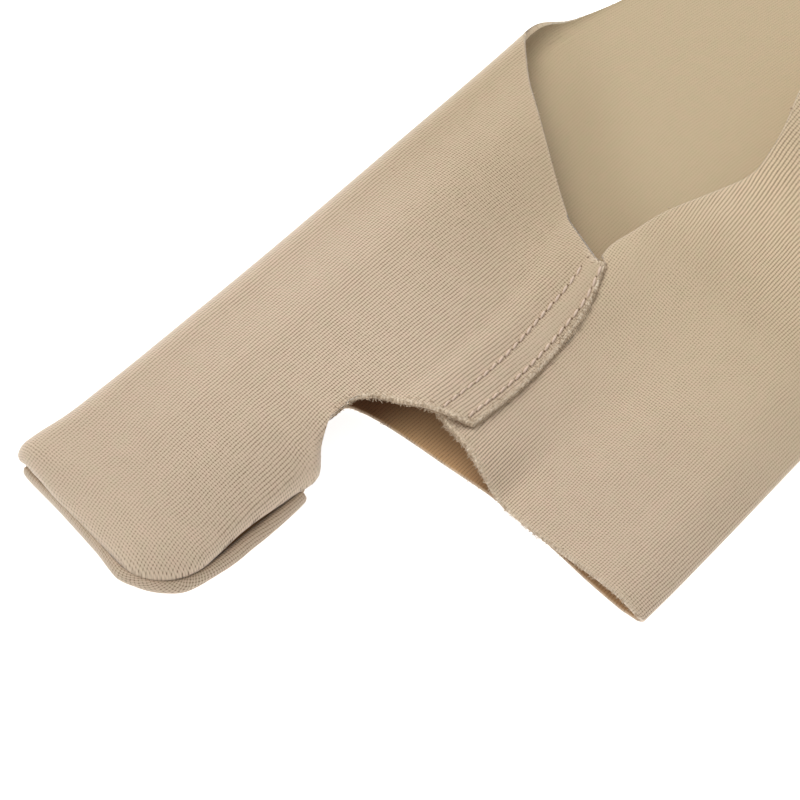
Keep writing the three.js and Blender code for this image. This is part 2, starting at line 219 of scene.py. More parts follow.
SECTIONS = Table(("x", *LINES), (
    (-97, 6.2, 6.2, 6.0, 5.0, 4.0, 4.0, 5.0), (-90, 8.0, 8.0, 7.6, 5.0, 4.0, 4.0, 5.0),
    (-80, 9.8, 9.8, 9.0, 6.0, 4.0, 4.0, 5.0), (-66, 11.1, 11.0, 10.0, 7.0, 3.0, 3.0, 5.0),
    (-52, 11.7, 11.6, 10.6, 7.6, 3.0, 3.5, 4.3), (-41, 11.9, 11.8, 10.4, 7.6, 3.0, 3.5, 4.3),
    (-24, 12.2, 10.8, 7.4, 5.4, 4.0, 5.0, 5.0), (-10, 12.2, 9.2, 6.8, 5.4, 4.8, 6.2, 5.9),
    (7, 11.6, 8.6, 11.6, 10.4, 9.4, 8.6, 6.9), (22, 10.6, 8.0, 14.2, 14.2, 13.0, 10.8, 8.0),
    (41, 9.0, 8.5, 10.0, 10.4, 10.6, 10.0, 8.2), (57, 9.0, 9.0, 16.0, 15.6, 14.8, 12.8, 9.4),
    (70, 9.0, 9.0, 19.0, 18.4, 17.2, 14.2, 10.2), (96, 9.0, 9.0, 19.5, 19.0, 17.8, 14.6, 10.4),
))


@dataclass(frozen=True)
class CutOut:
    """The hollow cut beside the toe in one layer of the cloth."""

    y: float
    lug: float


@dataclass(frozen=True)
class SleeveForm:
    """Middle surface of the cloth as it lies: two layers folded at both sides, lapped on the instep."""

    cloth: float = 1.2
    lap_rise: float = 1.0
    lap_width: float = 9.2
    lap_sink: float = 0.65
    lap_sink_width: float = 1.5
    rear_x: float = 96.0
    lap_rear_x: float = 6.3
    cut_out_x: float = -52.5
    seam_end_x: float = -63.5
    seam_slack: float = 1.0
    tip_medial_x: float = -94.7
    tip_lateral: tuple[float, float] = (-97.4, 22.2)
    toe_corner: float = 11.0
    toe_side_front: tuple[float, float] = (-80.0, 11.2)
    toe_side_rear_y: float = 9.9
    toe_seam_z: float = 2.3
    top_cut: CutOut = CutOut(y=12.44, lug=1.4)
    sole_cut: CutOut = CutOut(y=19.0, lug=0.0)
    lug_x: float = -60.5
    lug_half: float = 2.0
    lug_start: float = 0.3
    cut_out_turn: float = 0.8
    side_wall: float = 1.2
    side_slope: float = 15.0
    wall_share: float = 0.44
    wall_height: float = 6.0
    tip_shoulder: float = 7.0
    tip_shoulder_medial: float = 2.6
    tip_narrows_y: Pair = (36.0, 50.0)
    tip_inset_medial: float = 1.4
    fold_tilt: float = math.radians(32)
    pinched_bend: float = 0.85
    tuck: float = 0.2
    tuck_medial: float = 1.3
    tuck_grows_y: Pair = (40.0, 49.0)
    tuck_side: float = 0.8
    slot_tuck: float = 0.9
    slot_x: float = -75.0
    slot_half: float = 7.0
    tuck_height: float = 2.2
    tuck_ends: Pair = (-4.0, 2.0)
    quilting: float = 0.22
    quilting_half: float = 0.2
    sewn_front_x: Pair = (-41.0, -36.0)
    sewn_rear_x: Pair = (3.0, 8.0)
    lap_fade: float = 5.0
    lap_edge_rise: float = 0.85
    lap_edge_width: float = 1.4
    evening: float = 5.0
    evening_steps: int = 9

    @property
    def half(self) -> float:
        """Half the cloth's thickness, which is also the height of the sole layer's middle."""
        return self.cloth / 2

    def medial_pinch(self, x: Array) -> Array:
        """Share of the medial bend's full size: it closes into the seam at the toe's tip."""
        return shoulder(x - self.tip_medial_x, self.tip_shoulder_medial)

    def medial_bend(self, x: Array) -> Array:
        """Radius of the medial bend, pinched at the toe's tip."""
        return lerp(self.pinched_bend, MEDIAL_SIDE.at(x, "bend"), self.medial_pinch(x))

    def medial_top(self, x: Array) -> Array:
        """y of the medial bend's top and bottom; the fold turns in at the toe's tip."""
        turned = self.tip_inset_medial * (1 - self.medial_pinch(x))
        return MEDIAL_SIDE.at(x, "y") - turned - self.medial_bend(x)

    def stitch_place(self, x: Array, y: Array) -> Array:
        """Place across the lap: 0 on the stitch row beside the cut edge and 1 on the other row."""
        lower, upper = STITCH_LINES.at(x, "lower"), STITCH_LINES.at(x, "upper")
        return (y - lower) / (upper - lower)

    def lateral_centre(self, x: Array) -> Array:
        """y of the lateral bend's centre, where the sole layer meets it."""
        return LATERAL_SIDE.at(x, "y") + LATERAL_SIDE.at(x, "bend")

    def panel_low(self, x: Array) -> Array:
        """y where the lateral panel leaves the bend, already rising."""
        return self.lateral_centre(x) - LATERAL_SIDE.at(x, "bend") * math.sin(self.fold_tilt)

    def lap_edge(self, x: Array) -> Array:
        """y of the lap's cut edge, which stops at the V."""
        return PANEL_EDGE.at(np.minimum(x, self.lap_rear_x), "y")

    def toe_side(self, x: Array, cut: CutOut) -> Array:
        """y of the toe's outer line: cut-out, free corner, sewn side and rounded tip corner in turn."""
        front_x, front_y = self.toe_side_front
        forward = smoothstep(self.cut_out_x - x, self.cut_out_turn, self.cut_out_x - self.seam_end_x)
        sewn = lerp(front_y, self.toe_side_rear_y, smoothstep(x, front_x, self.seam_end_x))
        lug = cut.lug * hump(x, self.lug_x, self.lug_half) * smoothstep(forward, 0, self.lug_start)
        turn = np.clip((self.tip_lateral[0] + self.toe_corner - x) / self.toe_corner, 0, 1)
        corner = self.toe_corner * (1 - np.sqrt(1 - turn * turn))
        return lerp(cut.y, sewn, forward) - lug + corner

    def tip_line(self, y: Array) -> Array:
        """x of the toe's straight tip seam at y."""
        end_y = self.medial_top(np.array(self.tip_medial_x))
        start_x, start_y = self.tip_lateral
        return lerp(start_x, self.tip_medial_x, (y - start_y) / (end_y - start_y))

    def freed(self, x: Array) -> Array:
        """Share of the upper layer let go by the side seam, from the seam's end to the cut-out."""
        return smoothstep(x, self.seam_end_x - self.seam_slack, self.cut_out_x)

    def side_rise(self, inset: Array) -> Array:
        """Share risen beside the toe: a steep wall above the seam, then a slope that flattens inwards."""
        slope = 1 - (1 - np.clip(inset / self.side_slope, 0, 1)) ** 2
        return lerp(slope, shoulder(inset, self.side_wall), self.wall_share)

    def toe_rise(self, x: Array, y: Array) -> tuple[Array, Array, Array]:
        """How far the upper layer has risen from the toe seam, and which way the seam lies.

        The rise depends on the distance to the toe's outline: wall and slope beside the toe, a quarter
        ellipse at the tip, and a blend of both by the angle round the corner.

        Args:
            x: Places along the toe.
            y: Places across it.

        Returns:
            The share risen from the seam to the open height, and the outward direction's x and y.
        """
        centre_x = self.tip_lateral[0] + self.toe_corner
        centre_y = self.tip_lateral[1]
        reach = np.hypot(x - centre_x, y - centre_y) + TINY
        in_corner = (x < centre_x) & (y < centre_y)
        at_tip = (x < centre_x) & ~in_corner
        turn = np.arctan2(centre_x - x, np.maximum(centre_y - y, TINY)) / (math.pi / 2)
        narrow = lerp(self.tip_shoulder, self.tip_shoulder_medial, smoothstep(y, *self.tip_narrows_y))
        inset = np.where(in_corner, self.toe_corner - reach, x - self.tip_line(y))
        cap = self.side_rise(np.maximum(y - centre_y, 0) + self.toe_corner)
        tip = np.minimum(shoulder(inset, narrow), cap)
        beside = self.side_rise(y - self.toe_side(x, self.top_cut))
        risen = np.where(in_corner, lerp(self.side_rise(inset), tip, turn), np.where(at_tip, tip, beside))
        out_x = np.where(in_corner, (x - centre_x) / reach, np.where(at_tip, -1.0, 0.0))
        out_y = np.where(in_corner, (y - centre_y) / reach, np.where(at_tip, 0.0, -1.0))
        return lerp(risen, 1.0, self.freed(x)), out_x, out_y

    def drape(self, x: Array, y: Array) -> Array:
        """Height of the upper layer across each section by itself, sloped at the lateral fold."""
        top, low = self.medial_top(x), self.panel_low(x)
        share = np.clip((top - y) / (top - low), 0, 1)
        medial_z = self.half + 2 * MEDIAL_SIDE.at(x, "bend")
        lateral_z = self.half + LATERAL_SIDE.at(x, "bend") * (1 + math.cos(self.fold_tilt))
        heights = np.stack([medial_z, *(SECTIONS.at(x, name) for name in LINES), lateral_z], axis=-1)
        ends = (0.0, (low - top) * math.tan(self.fold_tilt))
        return smooth_curve(share, np.array([0.0, *ACROSS, 1.0]), heights, ends)

    def open_height(self, x: Array, y: Array) -> Array:
        """Height of the upper layer where no seam holds it down: the drape, evened out along the length."""
        shifts = np.linspace(-1, 1, self.evening_steps)
        shares = (1 + np.cos(math.pi * shifts)) / (self.evening_steps - 1)
        return sum(share * self.drape(x + self.evening * shift, y) for shift, share in zip(shifts, shares))

    def flap_height(self, x: Array, y: Array) -> Array:
        """Height of the medial panel: it rises over the lap's lower ply, and its stitches draw it down."""
        inset = y - self.lap_edge(x)
        rise = self.lap_rise * (1 - smoothstep(inset, self.lap_width, self.lap_width + self.lap_fade))
        rise = rise * lerp(self.lap_edge_rise, 1.0, smoothstep(inset, 0, self.lap_edge_width))
        place = self.stitch_place(x, y)
        drawn = hump(place, 0, self.quilting_half) + hump(place, 1, self.quilting_half)
        sewn = smoothstep(x, *self.sewn_front_x) * (1 - smoothstep(x, *self.sewn_rear_x))
        return self.open_height(x, y) + rise - self.quilting * drawn * sewn

    def wall_length(self, x: Array, y: Array) -> Array:
        """Extra cloth on the steep wall between a place and the toe's inside, ahead of the cut-out."""
        high = self.wall_share * self.wall_height * (1 - self.freed(x))
        return high * (1 - shoulder(y - self.toe_side(x, self.top_cut), self.side_wall))

    def tuck_low(self, z: Array) -> Array:
        """Share of the tuck at a height: all of it at the seam and none at the tuck's top."""
        return np.clip(1 - (z - self.toe_seam_z) / self.tuck_height, 0, 1) ** 2

    def tip_tuck(self, y: Array) -> Array:
        """How far the upper layer is drawn in under itself at the tip seam, most at the medial corner."""
        return lerp(self.tuck, self.tuck_medial, smoothstep(y, *self.tuck_grows_y))

    def toe_points(self, x: Array, y: Array) -> tuple[Array, Array, Array]:
        """Points of the toe's upper layer, drawn in above the seam."""
        risen, out_x, out_y = self.toe_rise(x, y)
        z = lerp(self.toe_seam_z, self.open_height(x, y), risen)
        slot = self.slot_tuck * hump(x, self.slot_x, self.slot_half)
        deep = lerp(self.tip_tuck(y), self.tuck_side + slot, out_y * out_y) * self.tuck_low(z)
        drawn = deep * (1 - smoothstep(x - self.seam_end_x, *self.tuck_ends))
        return x - out_x * drawn, y - out_y * drawn, z


@dataclass
class ClothGrid:
    """The middle surface on one grid: columns round the girth, rows from the toe's tip to the rear.

    The gathered place is an x and a y.
    """

    form: SleeveForm
    toe_rows: int = 62
    front_rows: int = 62
    rear_rows: int = 76
    crowding: float = 1.7
    row_easing: float = 10.0
    knee_share: float = 0.6
    rib_drift: float = 0.0022
    drift_x: float = -60.0
    corner_round: float = 0.5
    steep_x: float = -84.0
    even_width: float = 12.0
    medial_quarter: float = 7.0
    sole_width: float = 95.0
    profile_samples: int = 40
    fray_lap: float = 1.0
    fray_plain: float = 0.15
    fray_least: float = 0.05
    fray_under: float = 1.2
    fray_mouth: Pair = (0.45, 0.9)
    front_x: Pair = (-37.0, -32.0)
    lap_end_x: Pair = (5.0, 7.0)
    corner_y: Pair = (-18.0, -10.0)
    free_half: float = 5.0
    free_inset: Pair = (0.5, 5.0)
    free_loss: float = 0.75
    band_place: float = 0.4
    band_half: float = 0.75
    band_x: Pair = (-30.0, -12.0)
    band_loss: float = 0.65
    gathered: Pair = (-38.0, -14.0)
    gathered_half: float = 9.0
    gathered_gain: float = 1.3
    off_lap: float = 9.0
    steps: dict[Zone, int] = field(
        default_factory=lambda: dict(zip(Zone, (38, 54, 18, 18, 36, 14, 70, 9))))

    def shares(self, zone: Zone) -> Array:
        """Shares across a zone, crowded towards the cut-out on both its sides and the toe seam."""
        step = np.linspace(0, 1, self.steps[zone] + 1)
        if zone is Zone.FLAP:
            return 1 - (1 - step) ** self.crowding
        if zone in (Zone.SOLE, Zone.TOE_TOP):
            return step ** self.crowding
        return step

    def lengthwise(self, tip: Array | None, front: Array, rear: Array, to_rear: bool = True) -> Array:
        """x of every row of each column, from tip or front through the lap's rear end to the rear.

        Args:
            tip: x of each column's toe end, or None where it has no toe rows.
            front: x of each column's front cut.
            rear: x of each column's rear cut.
            to_rear: False where the columns stop at the lap's rear end.

        Returns:
            One row of x for each column, with NaN where the cloth isn't there.
        """
        ahead = np.arange(self.toe_rows) / self.toe_rows
        eased = ahead - np.sin(2 * math.pi * ahead) / self.row_easing
        knee = np.minimum(self.form.lap_rear_x, lerp(front, rear, self.knee_share))
        toe = np.full((len(front), self.toe_rows), np.nan)
        if tip is not None:
            toe = lerp(tip[:, None], front[:, None], eased)
        middle = lerp(front[:, None], knee[:, None], np.arange(self.front_rows) / self.front_rows)
        back = lerp(knee[:, None], rear[:, None], np.arange(self.rear_rows + 1) / self.rear_rows)
        if not to_rear:
            back[:, 1:] = np.nan
        return np.concatenate([toe, middle, back], axis=1)

    def zone_points(self, zone: Zone) -> Array:
        """Points of one zone, by columns and rows.

        Flat zones are straight blends between their two side lines at each x, the bends are half circles
        standing on the sole layer, and the upper zones take their height from the form.

        Args:
            zone: Which girth zone.

        Returns:
            Array of columns by rows by three.
        """
        form = self.form
        f = self.shares(zone)
        g = f[:, None]
        tip_end, cut_x, lap_rear, rear_x = (
            np.full(len(f), x) for x in (form.tip_medial_x, form.cut_out_x, form.lap_rear_x, form.rear_x))
        side_low, lap_front = form.lateral_centre(cut_x), form.lap_edge(cut_x)
        tip_x = lerp(form.tip_lateral[0], form.tip_medial_x, f)
        if zone is Zone.FLAP:
            rear = REAR_CUT.at(lerp(form.lap_edge(lap_rear), form.top_cut.y, f), "x")
            x = self.lengthwise(None, ARCH_CUT.at(lerp(lap_front, form.top_cut.y, f), "x"), rear)
            y = lerp(form.lap_edge(x), form.top_cut.y, g)
            z = form.flap_height(x, y)
        elif zone is Zone.TOE_TOP:
            rear = REAR_CUT.at(lerp(form.top_cut.y, REAR_CUT.rows[-1][0], f), "x")
            x = self.lengthwise(tip_x, cut_x, rear)
            y = lerp(form.toe_side(x[0], form.top_cut), form.medial_top(x), g)
            toe, panel = np.stack(form.toe_points(x, y)), np.stack([x, y, form.flap_height(x, y)])
            x, y, z = np.where(x < form.cut_out_x, toe, panel)
        elif zone is Zone.MEDIAL_BEND:
            angle = lerp(90.0, -90.0, f)
            x = self.lengthwise(tip_end, cut_x, BEND_CUT.at(angle, "x"))
            r, a = form.medial_bend(x), np.radians(angle)[:, None]
            y, z = form.medial_top(x) + r * np.cos(a), form.half + r * (1 + np.sin(a))
            near_tip = 1 - smoothstep(x, form.tip_medial_x, form.tip_medial_x + form.tip_shoulder_medial)
            x = x + form.tip_tuck(y) * form.tuck_low(z) * near_tip
        elif zone is Zone.TOE_SOLE:
            x = self.lengthwise(tip_x[::-1] + form.tuck, cut_x, rear_x)
            y = lerp(form.medial_top(x), form.toe_side(x[-1], form.sole_cut), g)
            z = np.full_like(x, form.half)
        elif zone is Zone.SOLE:
            x = self.lengthwise(None, SOLE_CUT.at(lerp(form.sole_cut.y, side_low, f), "x"), rear_x)
            y = lerp(form.sole_cut.y, form.lateral_centre(x), g)
            z = np.full_like(x, form.half)
        elif zone is Zone.LATERAL_BEND:
            front = lerp(SOLE_CUT.at(side_low, "x"), PANEL_CUT.at(side_low, "x"), f)
            x = self.lengthwise(None, front + self.corner_round * np.sin(math.pi * f), rear_x)
            r, a = LATERAL_SIDE.at(x, "bend"), lerp(-math.pi / 2, math.pi / 2 - form.fold_tilt, g)
            y, z = form.lateral_centre(x) - r * np.cos(a), form.half + r * (1 + np.sin(a))
        elif zone is Zone.PANEL:
            x = self.lengthwise(None, PANEL_CUT.at(lerp(side_low, lap_front, f), "x"), rear_x)
            y = lerp(form.panel_low(x), PANEL_EDGE.at(x, "y"), g)
            z = form.open_height(x, y)
        else:
            front = PANEL_CUT.at(lap_front + f * form.lap_width, "x")
            x = self.lengthwise(None, front, lap_rear, to_rear=False)
            y = form.lap_edge(x) + g * form.lap_width
            sunk = form.lap_sink * smoothstep(g * form.lap_width, 0, form.lap_sink_width)
            z = form.open_height(x, y) - sunk
        return np.stack([x, y, z], -1)

    def girth(self, zone: Zone, points: Array) -> Array:
        """Girth coordinate of a zone's points: cloth distance round from the medial fold's outer line.

        It is positive over the upper medial layer and negative round the sole. Upper zones add up the
        profile's length from the nearer fold at the same x, so that the knit's ribs run along the folds.

        Args:
            zone: Which girth zone.
            points: That zone's points.

        Returns:
            One distance for each point.
        """
        form = self.form
        f = self.shares(zone)[:, None]
        x, y = np.maximum(points[..., 0], form.tip_lateral[0] + form.toe_corner), points[..., 1]
        quarter = MEDIAL_SIDE.at(x, "bend") * math.pi / 2
        lateral_start = -(self.medial_quarter + self.sole_width)
        drift = self.rib_drift * np.minimum(points[..., 0] - self.drift_x, 0) ** 2
        if zone is Zone.MEDIAL_BEND:
            return lerp(1.0, -1.0, f) * quarter - drift
        if zone in (Zone.TOE_SOLE, Zone.SOLE):
            drop = (form.medial_top(x) - y) / (form.medial_top(x) - form.lateral_centre(x))
            return lerp(-quarter, lateral_start, drop) - drift
        around = (LATERAL_SIDE.at(x, "bend") + form.half) * (math.pi - form.fold_tilt)
        if zone is Zone.LATERAL_BEND:
            return lateral_start - f * around
        medial = zone in (Zone.FLAP, Zone.TOE_TOP)
        start = form.medial_top(x) if medial else form.panel_low(x)
        if zone is Zone.TOE_TOP:
            y = y - (form.medial_top(points[..., 0]) - start) * f
        line_y = lerp(start[..., None], y[..., None], np.linspace(0, 1, self.profile_samples))
        line_x = np.broadcast_to(x[..., None], line_y.shape)
        height = form.drape(line_x, line_y)
        along = np.hypot(np.diff(line_y, axis=-1), np.diff(height, axis=-1)).sum(-1)
        if medial:
            along *= RIB_LIE.at(x, "medial")
        else:
            free = np.maximum(along - self.even_width, 0)
            full = RIB_LIE.rows[0][2]
            lost = full - RIB_LIE.at(x, "lateral")
            along = full * along - lost * free * free / (free + self.even_width)
        if zone is Zone.TOE_TOP:
            along += form.wall_length(x, y)
        return quarter + along - drift if medial else lateral_start - around - along

    def length(self, points: Array) -> Array:
        """Length coordinate of each point: x, less the extra cloth on the steep fall to the toe's tip.

        The extra is the slant length less the run of each step, added up along each column to the tip.

        Args:
            points: One zone's points.

        Returns:
            One distance for each point.
        """
        x = points[..., 0]
        run, fall = np.diff(x, axis=1), np.diff(points[..., 2], axis=1)
        extra = np.where(x[:, 1:] < self.steep_x, np.hypot(run, fall) - np.abs(run), 0.0)
        total = np.cumsum(extra[:, ::-1], axis=1)[:, ::-1]
        return x - np.concatenate([total, np.zeros((len(x), 1))], axis=1)

    def fray(self, zone: Zone, points: Array) -> Array:
        """How much the cut edge frays at a zone's points: most along the lap and at its front end."""
        x = points[..., 0]
        front = 1 - smoothstep(x, *self.front_x)
        if zone is Zone.FLAP:
            return lerp(self.fray_lap, self.fray_plain, smoothstep(x, *self.lap_end_x))
        if zone is Zone.TONGUE:
            return lerp(self.fray_least, self.fray_under, front)
        if zone is Zone.PANEL:
            mouth = lerp(*self.fray_mouth, smoothstep(points[..., 1], *self.corner_y))
            return lerp(self.fray_plain, mouth, front)
        return np.full(x.shape, self.fray_plain if zone is Zone.TOE_TOP else self.fray_least)

    def relief(self, zone: Zone, points: Array) -> Array:
        """How strongly the ribs stand out at each of a zone's points."""
        x, y = points[..., 0], points[..., 1]
        lateral = zone in (Zone.LATERAL_BEND, Zone.PANEL, Zone.TONGUE)
        strength = RIB_LIE.at(x, "lateral_relief" if lateral else "medial_relief")
        if zone is Zone.TOE_TOP:
            inset = y - self.form.toe_side(x, self.form.top_cut)
            free = hump(x, self.form.lug_x, self.free_half) * (1 - smoothstep(inset, *self.free_inset))
            return strength * (1 - self.free_loss * free)
        if zone is Zone.FLAP:
            band = hump(self.form.stitch_place(x, y), self.band_place, self.band_half)
            return strength * (1 - self.band_loss * band * smoothstep(x, *self.band_x))
        if zone is Zone.PANEL:
            near = (hump(at, centre, self.gathered_half) for at, centre in zip((x, y), self.gathered))
            return strength + self.gathered_gain * math.prod(near)
        return strength

    def build(self) -> dict[str, Array]:
        """Every zone's points and cloth values on one grid.

        Returns:
            Points (columns by rows by three), cloth coordinates (columns by rows by two: length and girth),
            lap coordinates (length and place across the lap), fray and relief of the same points.
        """
        parts: dict[str, list[Array]] = {name: [] for name in ("points", "cloth", "lap", "fray", "relief")}
        for zone in Zone:
            p = self.zone_points(zone)
            x = p[..., 0]
            medial = zone in (Zone.FLAP, Zone.TOE_TOP)
            near = np.full(x.shape, self.off_lap)
            if medial:
                near = np.where(x < self.form.cut_out_x, near, self.form.stitch_place(x, p[..., 1]))
            keep = slice(0 if medial else 1, None)
            if zone is Zone.TOE_TOP:
                for rows in parts.values():
                    rows[-1] = rows[-1][:-1]
            cloth, lap = np.stack([self.length(p), self.girth(zone, p)], -1), np.stack([x, near], -1)
            values = (p, cloth, lap, self.fray(zone, p), self.relief(zone, p))
            for rows, value in zip(parts.values(), values):
                rows.append(value[keep])
        return {name: np.concatenate(rows) for name, rows in parts.items()}


@dataclass
class Shell:
    """Closed cloth wall about a middle surface, with a rounded rim along each cut edge."""

    thickness: float
    rim_bulge: float = 0.28
    block: int = 2000

    def grid_quads(self, points: Array) -> tuple[Array, Array]:
        """Numbers the points that exist and joins each four neighbours.

        Args:
            points: Columns by rows by three, NaN where the cloth isn't there.

        Returns:
            A mask of the points that exist, and the quads' corner numbers.
        """
        there = ~np.isnan(points[..., 0])
        ids = np.where(there, np.cumsum(there.ravel()).reshape(there.shape) - 1, -1)
        quads = np.stack([ids[:-1, :-1], ids[:-1, 1:], ids[1:, 1:], ids[1:, :-1]], -1).reshape(-1, 4)
        return there, quads[(quads >= 0).all(1)]

    def normals(self, vertices: Array, quads: Array) -> Array:
        """Unit normals at the vertices, from the diagonals' cross product of each quad round them."""
        a, b, c, d = (vertices[quads[:, k]] for k in range(4))
        face = np.cross(c - a, d - b)
        total = np.zeros_like(vertices)
        for k in range(4):
            np.add.at(total, quads[:, k], face)
        return unit(total)

    def free_edges(self, quads: Array, count: int) -> Array:
        """Directed edges that only one quad uses, in that quad's own direction."""
        edges = np.concatenate([quads[:, [k, (k + 1) % 4]] for k in range(4)])
        code = edges[:, 0] * count + edges[:, 1]
        back = edges[:, 1] * count + edges[:, 0]
        return edges[~np.isin(back, code)]

    def rim_directions(self, vertices: Array, normals: Array, edges: Array) -> Array:
        """Unit direction out of the cloth at a free edge's vertices: edge direction crossed with normal."""
        along = unit(vertices[edges[:, 1]] - vertices[edges[:, 0]])
        total = np.zeros_like(vertices)
        for k in range(2):
            np.add.at(total, edges[:, k], np.cross(along, normals[edges[:, k]]))
        return unit(total)

    def close(self, vertices: Array, quads: Array) -> tuple[Array, Array, Array, Array]:
        """Outer and inner walls at half the thickness each way, joined by a bulging rim.

        Args:
            vertices: Middle surface's vertices.
            quads: Its quads, facing out.

        Returns:
            The wall's vertices, its quads, the middle vertex that each one comes from, and its side: 1 on
            the outer wall, 0.5 on the rim and 0 on the inner wall.
        """
        count = len(vertices)
        normals = self.normals(vertices, quads)
        edges = self.free_edges(quads, count)
        out = self.rim_directions(vertices, normals, edges)
        border = np.unique(edges)
        ring = np.full(count, -1)
        ring[border] = 2 * count + np.arange(len(border))
        half = self.thickness / 2
        drawn = vertices - out * self.rim_bulge
        walls = np.concatenate([drawn + normals * half, drawn - normals * half, vertices[border]])
        a, b = edges[:, 0], edges[:, 1]
        upper = np.stack([b, a, ring[a], ring[b]], 1)
        lower = np.stack([ring[b], ring[a], a + count, b + count], 1)
        faces = np.concatenate([quads, quads[:, ::-1] + count, upper, lower])
        source = np.concatenate([np.arange(count), np.arange(count), border])
        side = np.concatenate([np.ones(count), np.zeros(count), np.full(len(border), RIM_SIDE)])
        return walls, faces, source, side

    def edge_distance(self, vertices: Array, border: Array, limit: float = 3.0) -> Array:
        """Distance from each vertex to the nearest vertex of a cut edge, up to a limit."""
        blocks = np.array_split(vertices, max(1, len(vertices) // self.block))
        near = [np.sqrt(((b[:, None] - vertices[border][None]) ** 2).sum(-1).min(1)) for b in blocks]
        return np.minimum(np.concatenate(near), limit)


def place(points: Array) -> Array:
    """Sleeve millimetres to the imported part's frame in metres."""
    return (points - ORIGIN) * MM


def new_object(name: str, data: bpy.types.ID) -> bpy.types.Object:
    """A new object of some data, linked to the scene."""
    made = bpy.data.objects.new(name, data)
    bpy.context.scene.collection.objects.link(made)
    return made


def make_piece(name: str, points: Array, faces: list[Array]) -> bpy.types.Object:
    """A smooth mesh object at the origin.

    Args:
        name: The piece's name.
        points: Vertices in the sleeve's millimetres.
        faces: Arrays of corner numbers, one array for each number of corners.

    Returns:
        The object, linked to the scene.
    """
    mesh = bpy.data.meshes.new(name)
    corners = np.concatenate([f.ravel() for f in faces]).astype(np.int32)
    totals = np.concatenate([np.full(len(f), f.shape[1]) for f in faces]).astype(np.int32)
    starts = np.concatenate([[0], np.cumsum(totals)[:-1]]).astype(np.int32)
    mesh.vertices.add(len(points))
    mesh.vertices.foreach_set("co", place(points).astype(np.float32).ravel())
    mesh.loops.add(len(corners))
    mesh.loops.foreach_set("vertex_index", corners)
    mesh.polygons.add(len(totals))
    mesh.polygons.foreach_set("loop_start", starts)
    mesh.polygons.foreach_set("use_smooth", np.ones(len(totals), bool))
    mesh.update(calc_edges=True)
    return new_object(name, mesh)


def add_uv(piece: bpy.types.Object, name: str, values: Array) -> None:
    """A UV map that gives each corner its vertex's pair of values."""
    mesh = piece.data
    corner = np.empty(len(mesh.loops), np.int32)
    mesh.loops.foreach_get("vertex_index", corner)
    layer = mesh.uv_layers.new(name=name)
    layer.data.foreach_set("uv", values[corner].astype(np.float32).ravel())


def add_value(piece: bpy.types.Object, name: str, values: Array) -> None:
    """A number at each vertex."""
    layer = piece.data.attributes.new(name, "FLOAT", "POINT")
    layer.data.foreach_set("value", values.astype(np.float32))


def tube_faces(tubes: int, rings: int, sides: int) -> tuple[Array, Array]:
    """Faces of tubes whose vertices run tube by tube, ring by ring.

    Args:
        tubes: How many tubes.
        rings: Rings in each.
        sides: Vertices in each ring.

    Returns:
        The side quads, and the two end polygons of each tube.
    """
    t, r, s = np.meshgrid(np.arange(tubes), np.arange(rings - 1), np.arange(sides), indexing="ij")
    base = t * rings * sides + r * sides
    a, b = base + s, base + (s + 1) % sides
    quads = np.stack([a, b, b + sides, a + sides], -1).reshape(-1, 4)
    first = np.arange(tubes)[:, None] * rings * sides + np.arange(sides)
    return quads, np.concatenate([first[:, ::-1], first + (rings - 1) * sides])


class Board:
    """A node tree that nodes are placed on by kind and joined by sockets."""

    def __init__(self, tree: bpy.types.NodeTree) -> None:
        """Starts on a tree."""
        self.tree = tree

    def fill(self, node: bpy.types.Node, fed: Feed) -> None:
        """Feeds a node's inputs by name or number: sockets are linked and plain values set."""
        for key, value in fed.items():
            if isinstance(value, Socket):
                self.tree.links.new(value, node.inputs[key])
            else:
                node.inputs[key].default_value = value

    def add(self, kind: str, fed: Feed | None = None, **settings: object) -> bpy.types.Node:
        """A new node of a kind, with its settings and its inputs fed."""
        node = self.tree.nodes.new(kind)
        for key, value in settings.items():
            setattr(node, key, value)
        self.fill(node, fed or {})
        return node

    def math(self, operation: str, *values: object) -> Socket:
        """Result of one arithmetic step."""
        return self.add("ShaderNodeMath", dict(enumerate(values)), operation=operation).outputs[0]

    def times(self, a: object, b: object, more: object = 0.0) -> Socket:
        """Product of a and b, with more added to it."""
        return self.math("MULTIPLY_ADD", a, b, more)

    def less(self, a: object, b: object) -> Socket:
        """Difference of a and b."""
        return self.math("SUBTRACT", a, b)

    def mix(self, share: object, a: object, b: object, blend: str = "MIX") -> Socket:
        """Colour blend of a and b."""
        fed = {"Factor": share, 6: a, 7: b}
        return self.add("ShaderNodeMix", fed, data_type="RGBA", blend_type=blend).outputs[2]

    def fall(self, value: object, low: float, high: float) -> Socket:
        """Smooth fall from 1 at low to 0 at high."""
        fed = {"Value": value, "From Min": low, "From Max": high, "To Min": 1.0, "To Max": 0.0}
        return self.add("ShaderNodeMapRange", fed, interpolation_type="SMOOTHSTEP").outputs[0]

    def noise(self, vector: object, scale: float, detail: float = 2.0) -> Socket:
        """Smooth noise from 0 to 1."""
        fed = {"Vector": vector, "Scale": scale, "Detail": detail}
        return self.add("ShaderNodeTexNoise", fed, noise_dimensions="3D").outputs["Fac"]

    def split(self, vector: object) -> tuple[Socket, Socket]:
        """The first two numbers of a vector."""
        outputs = self.add("ShaderNodeSeparateXYZ", {0: vector}).outputs
        return outputs[0], outputs[1]

    def uv(self, name: str) -> Socket:
        """One of the piece's UV maps."""
        return self.add("ShaderNodeUVMap", uv_map=name).outputs[0]


def new_material(name: str) -> tuple[bpy.types.Material, Board, bpy.types.Node]:
    """A new material, its board and its surface shader."""
    made = bpy.data.materials.new(name)
    made.use_nodes = True
    return made, Board(made.node_tree), made.node_tree.nodes["Principled BSDF"]


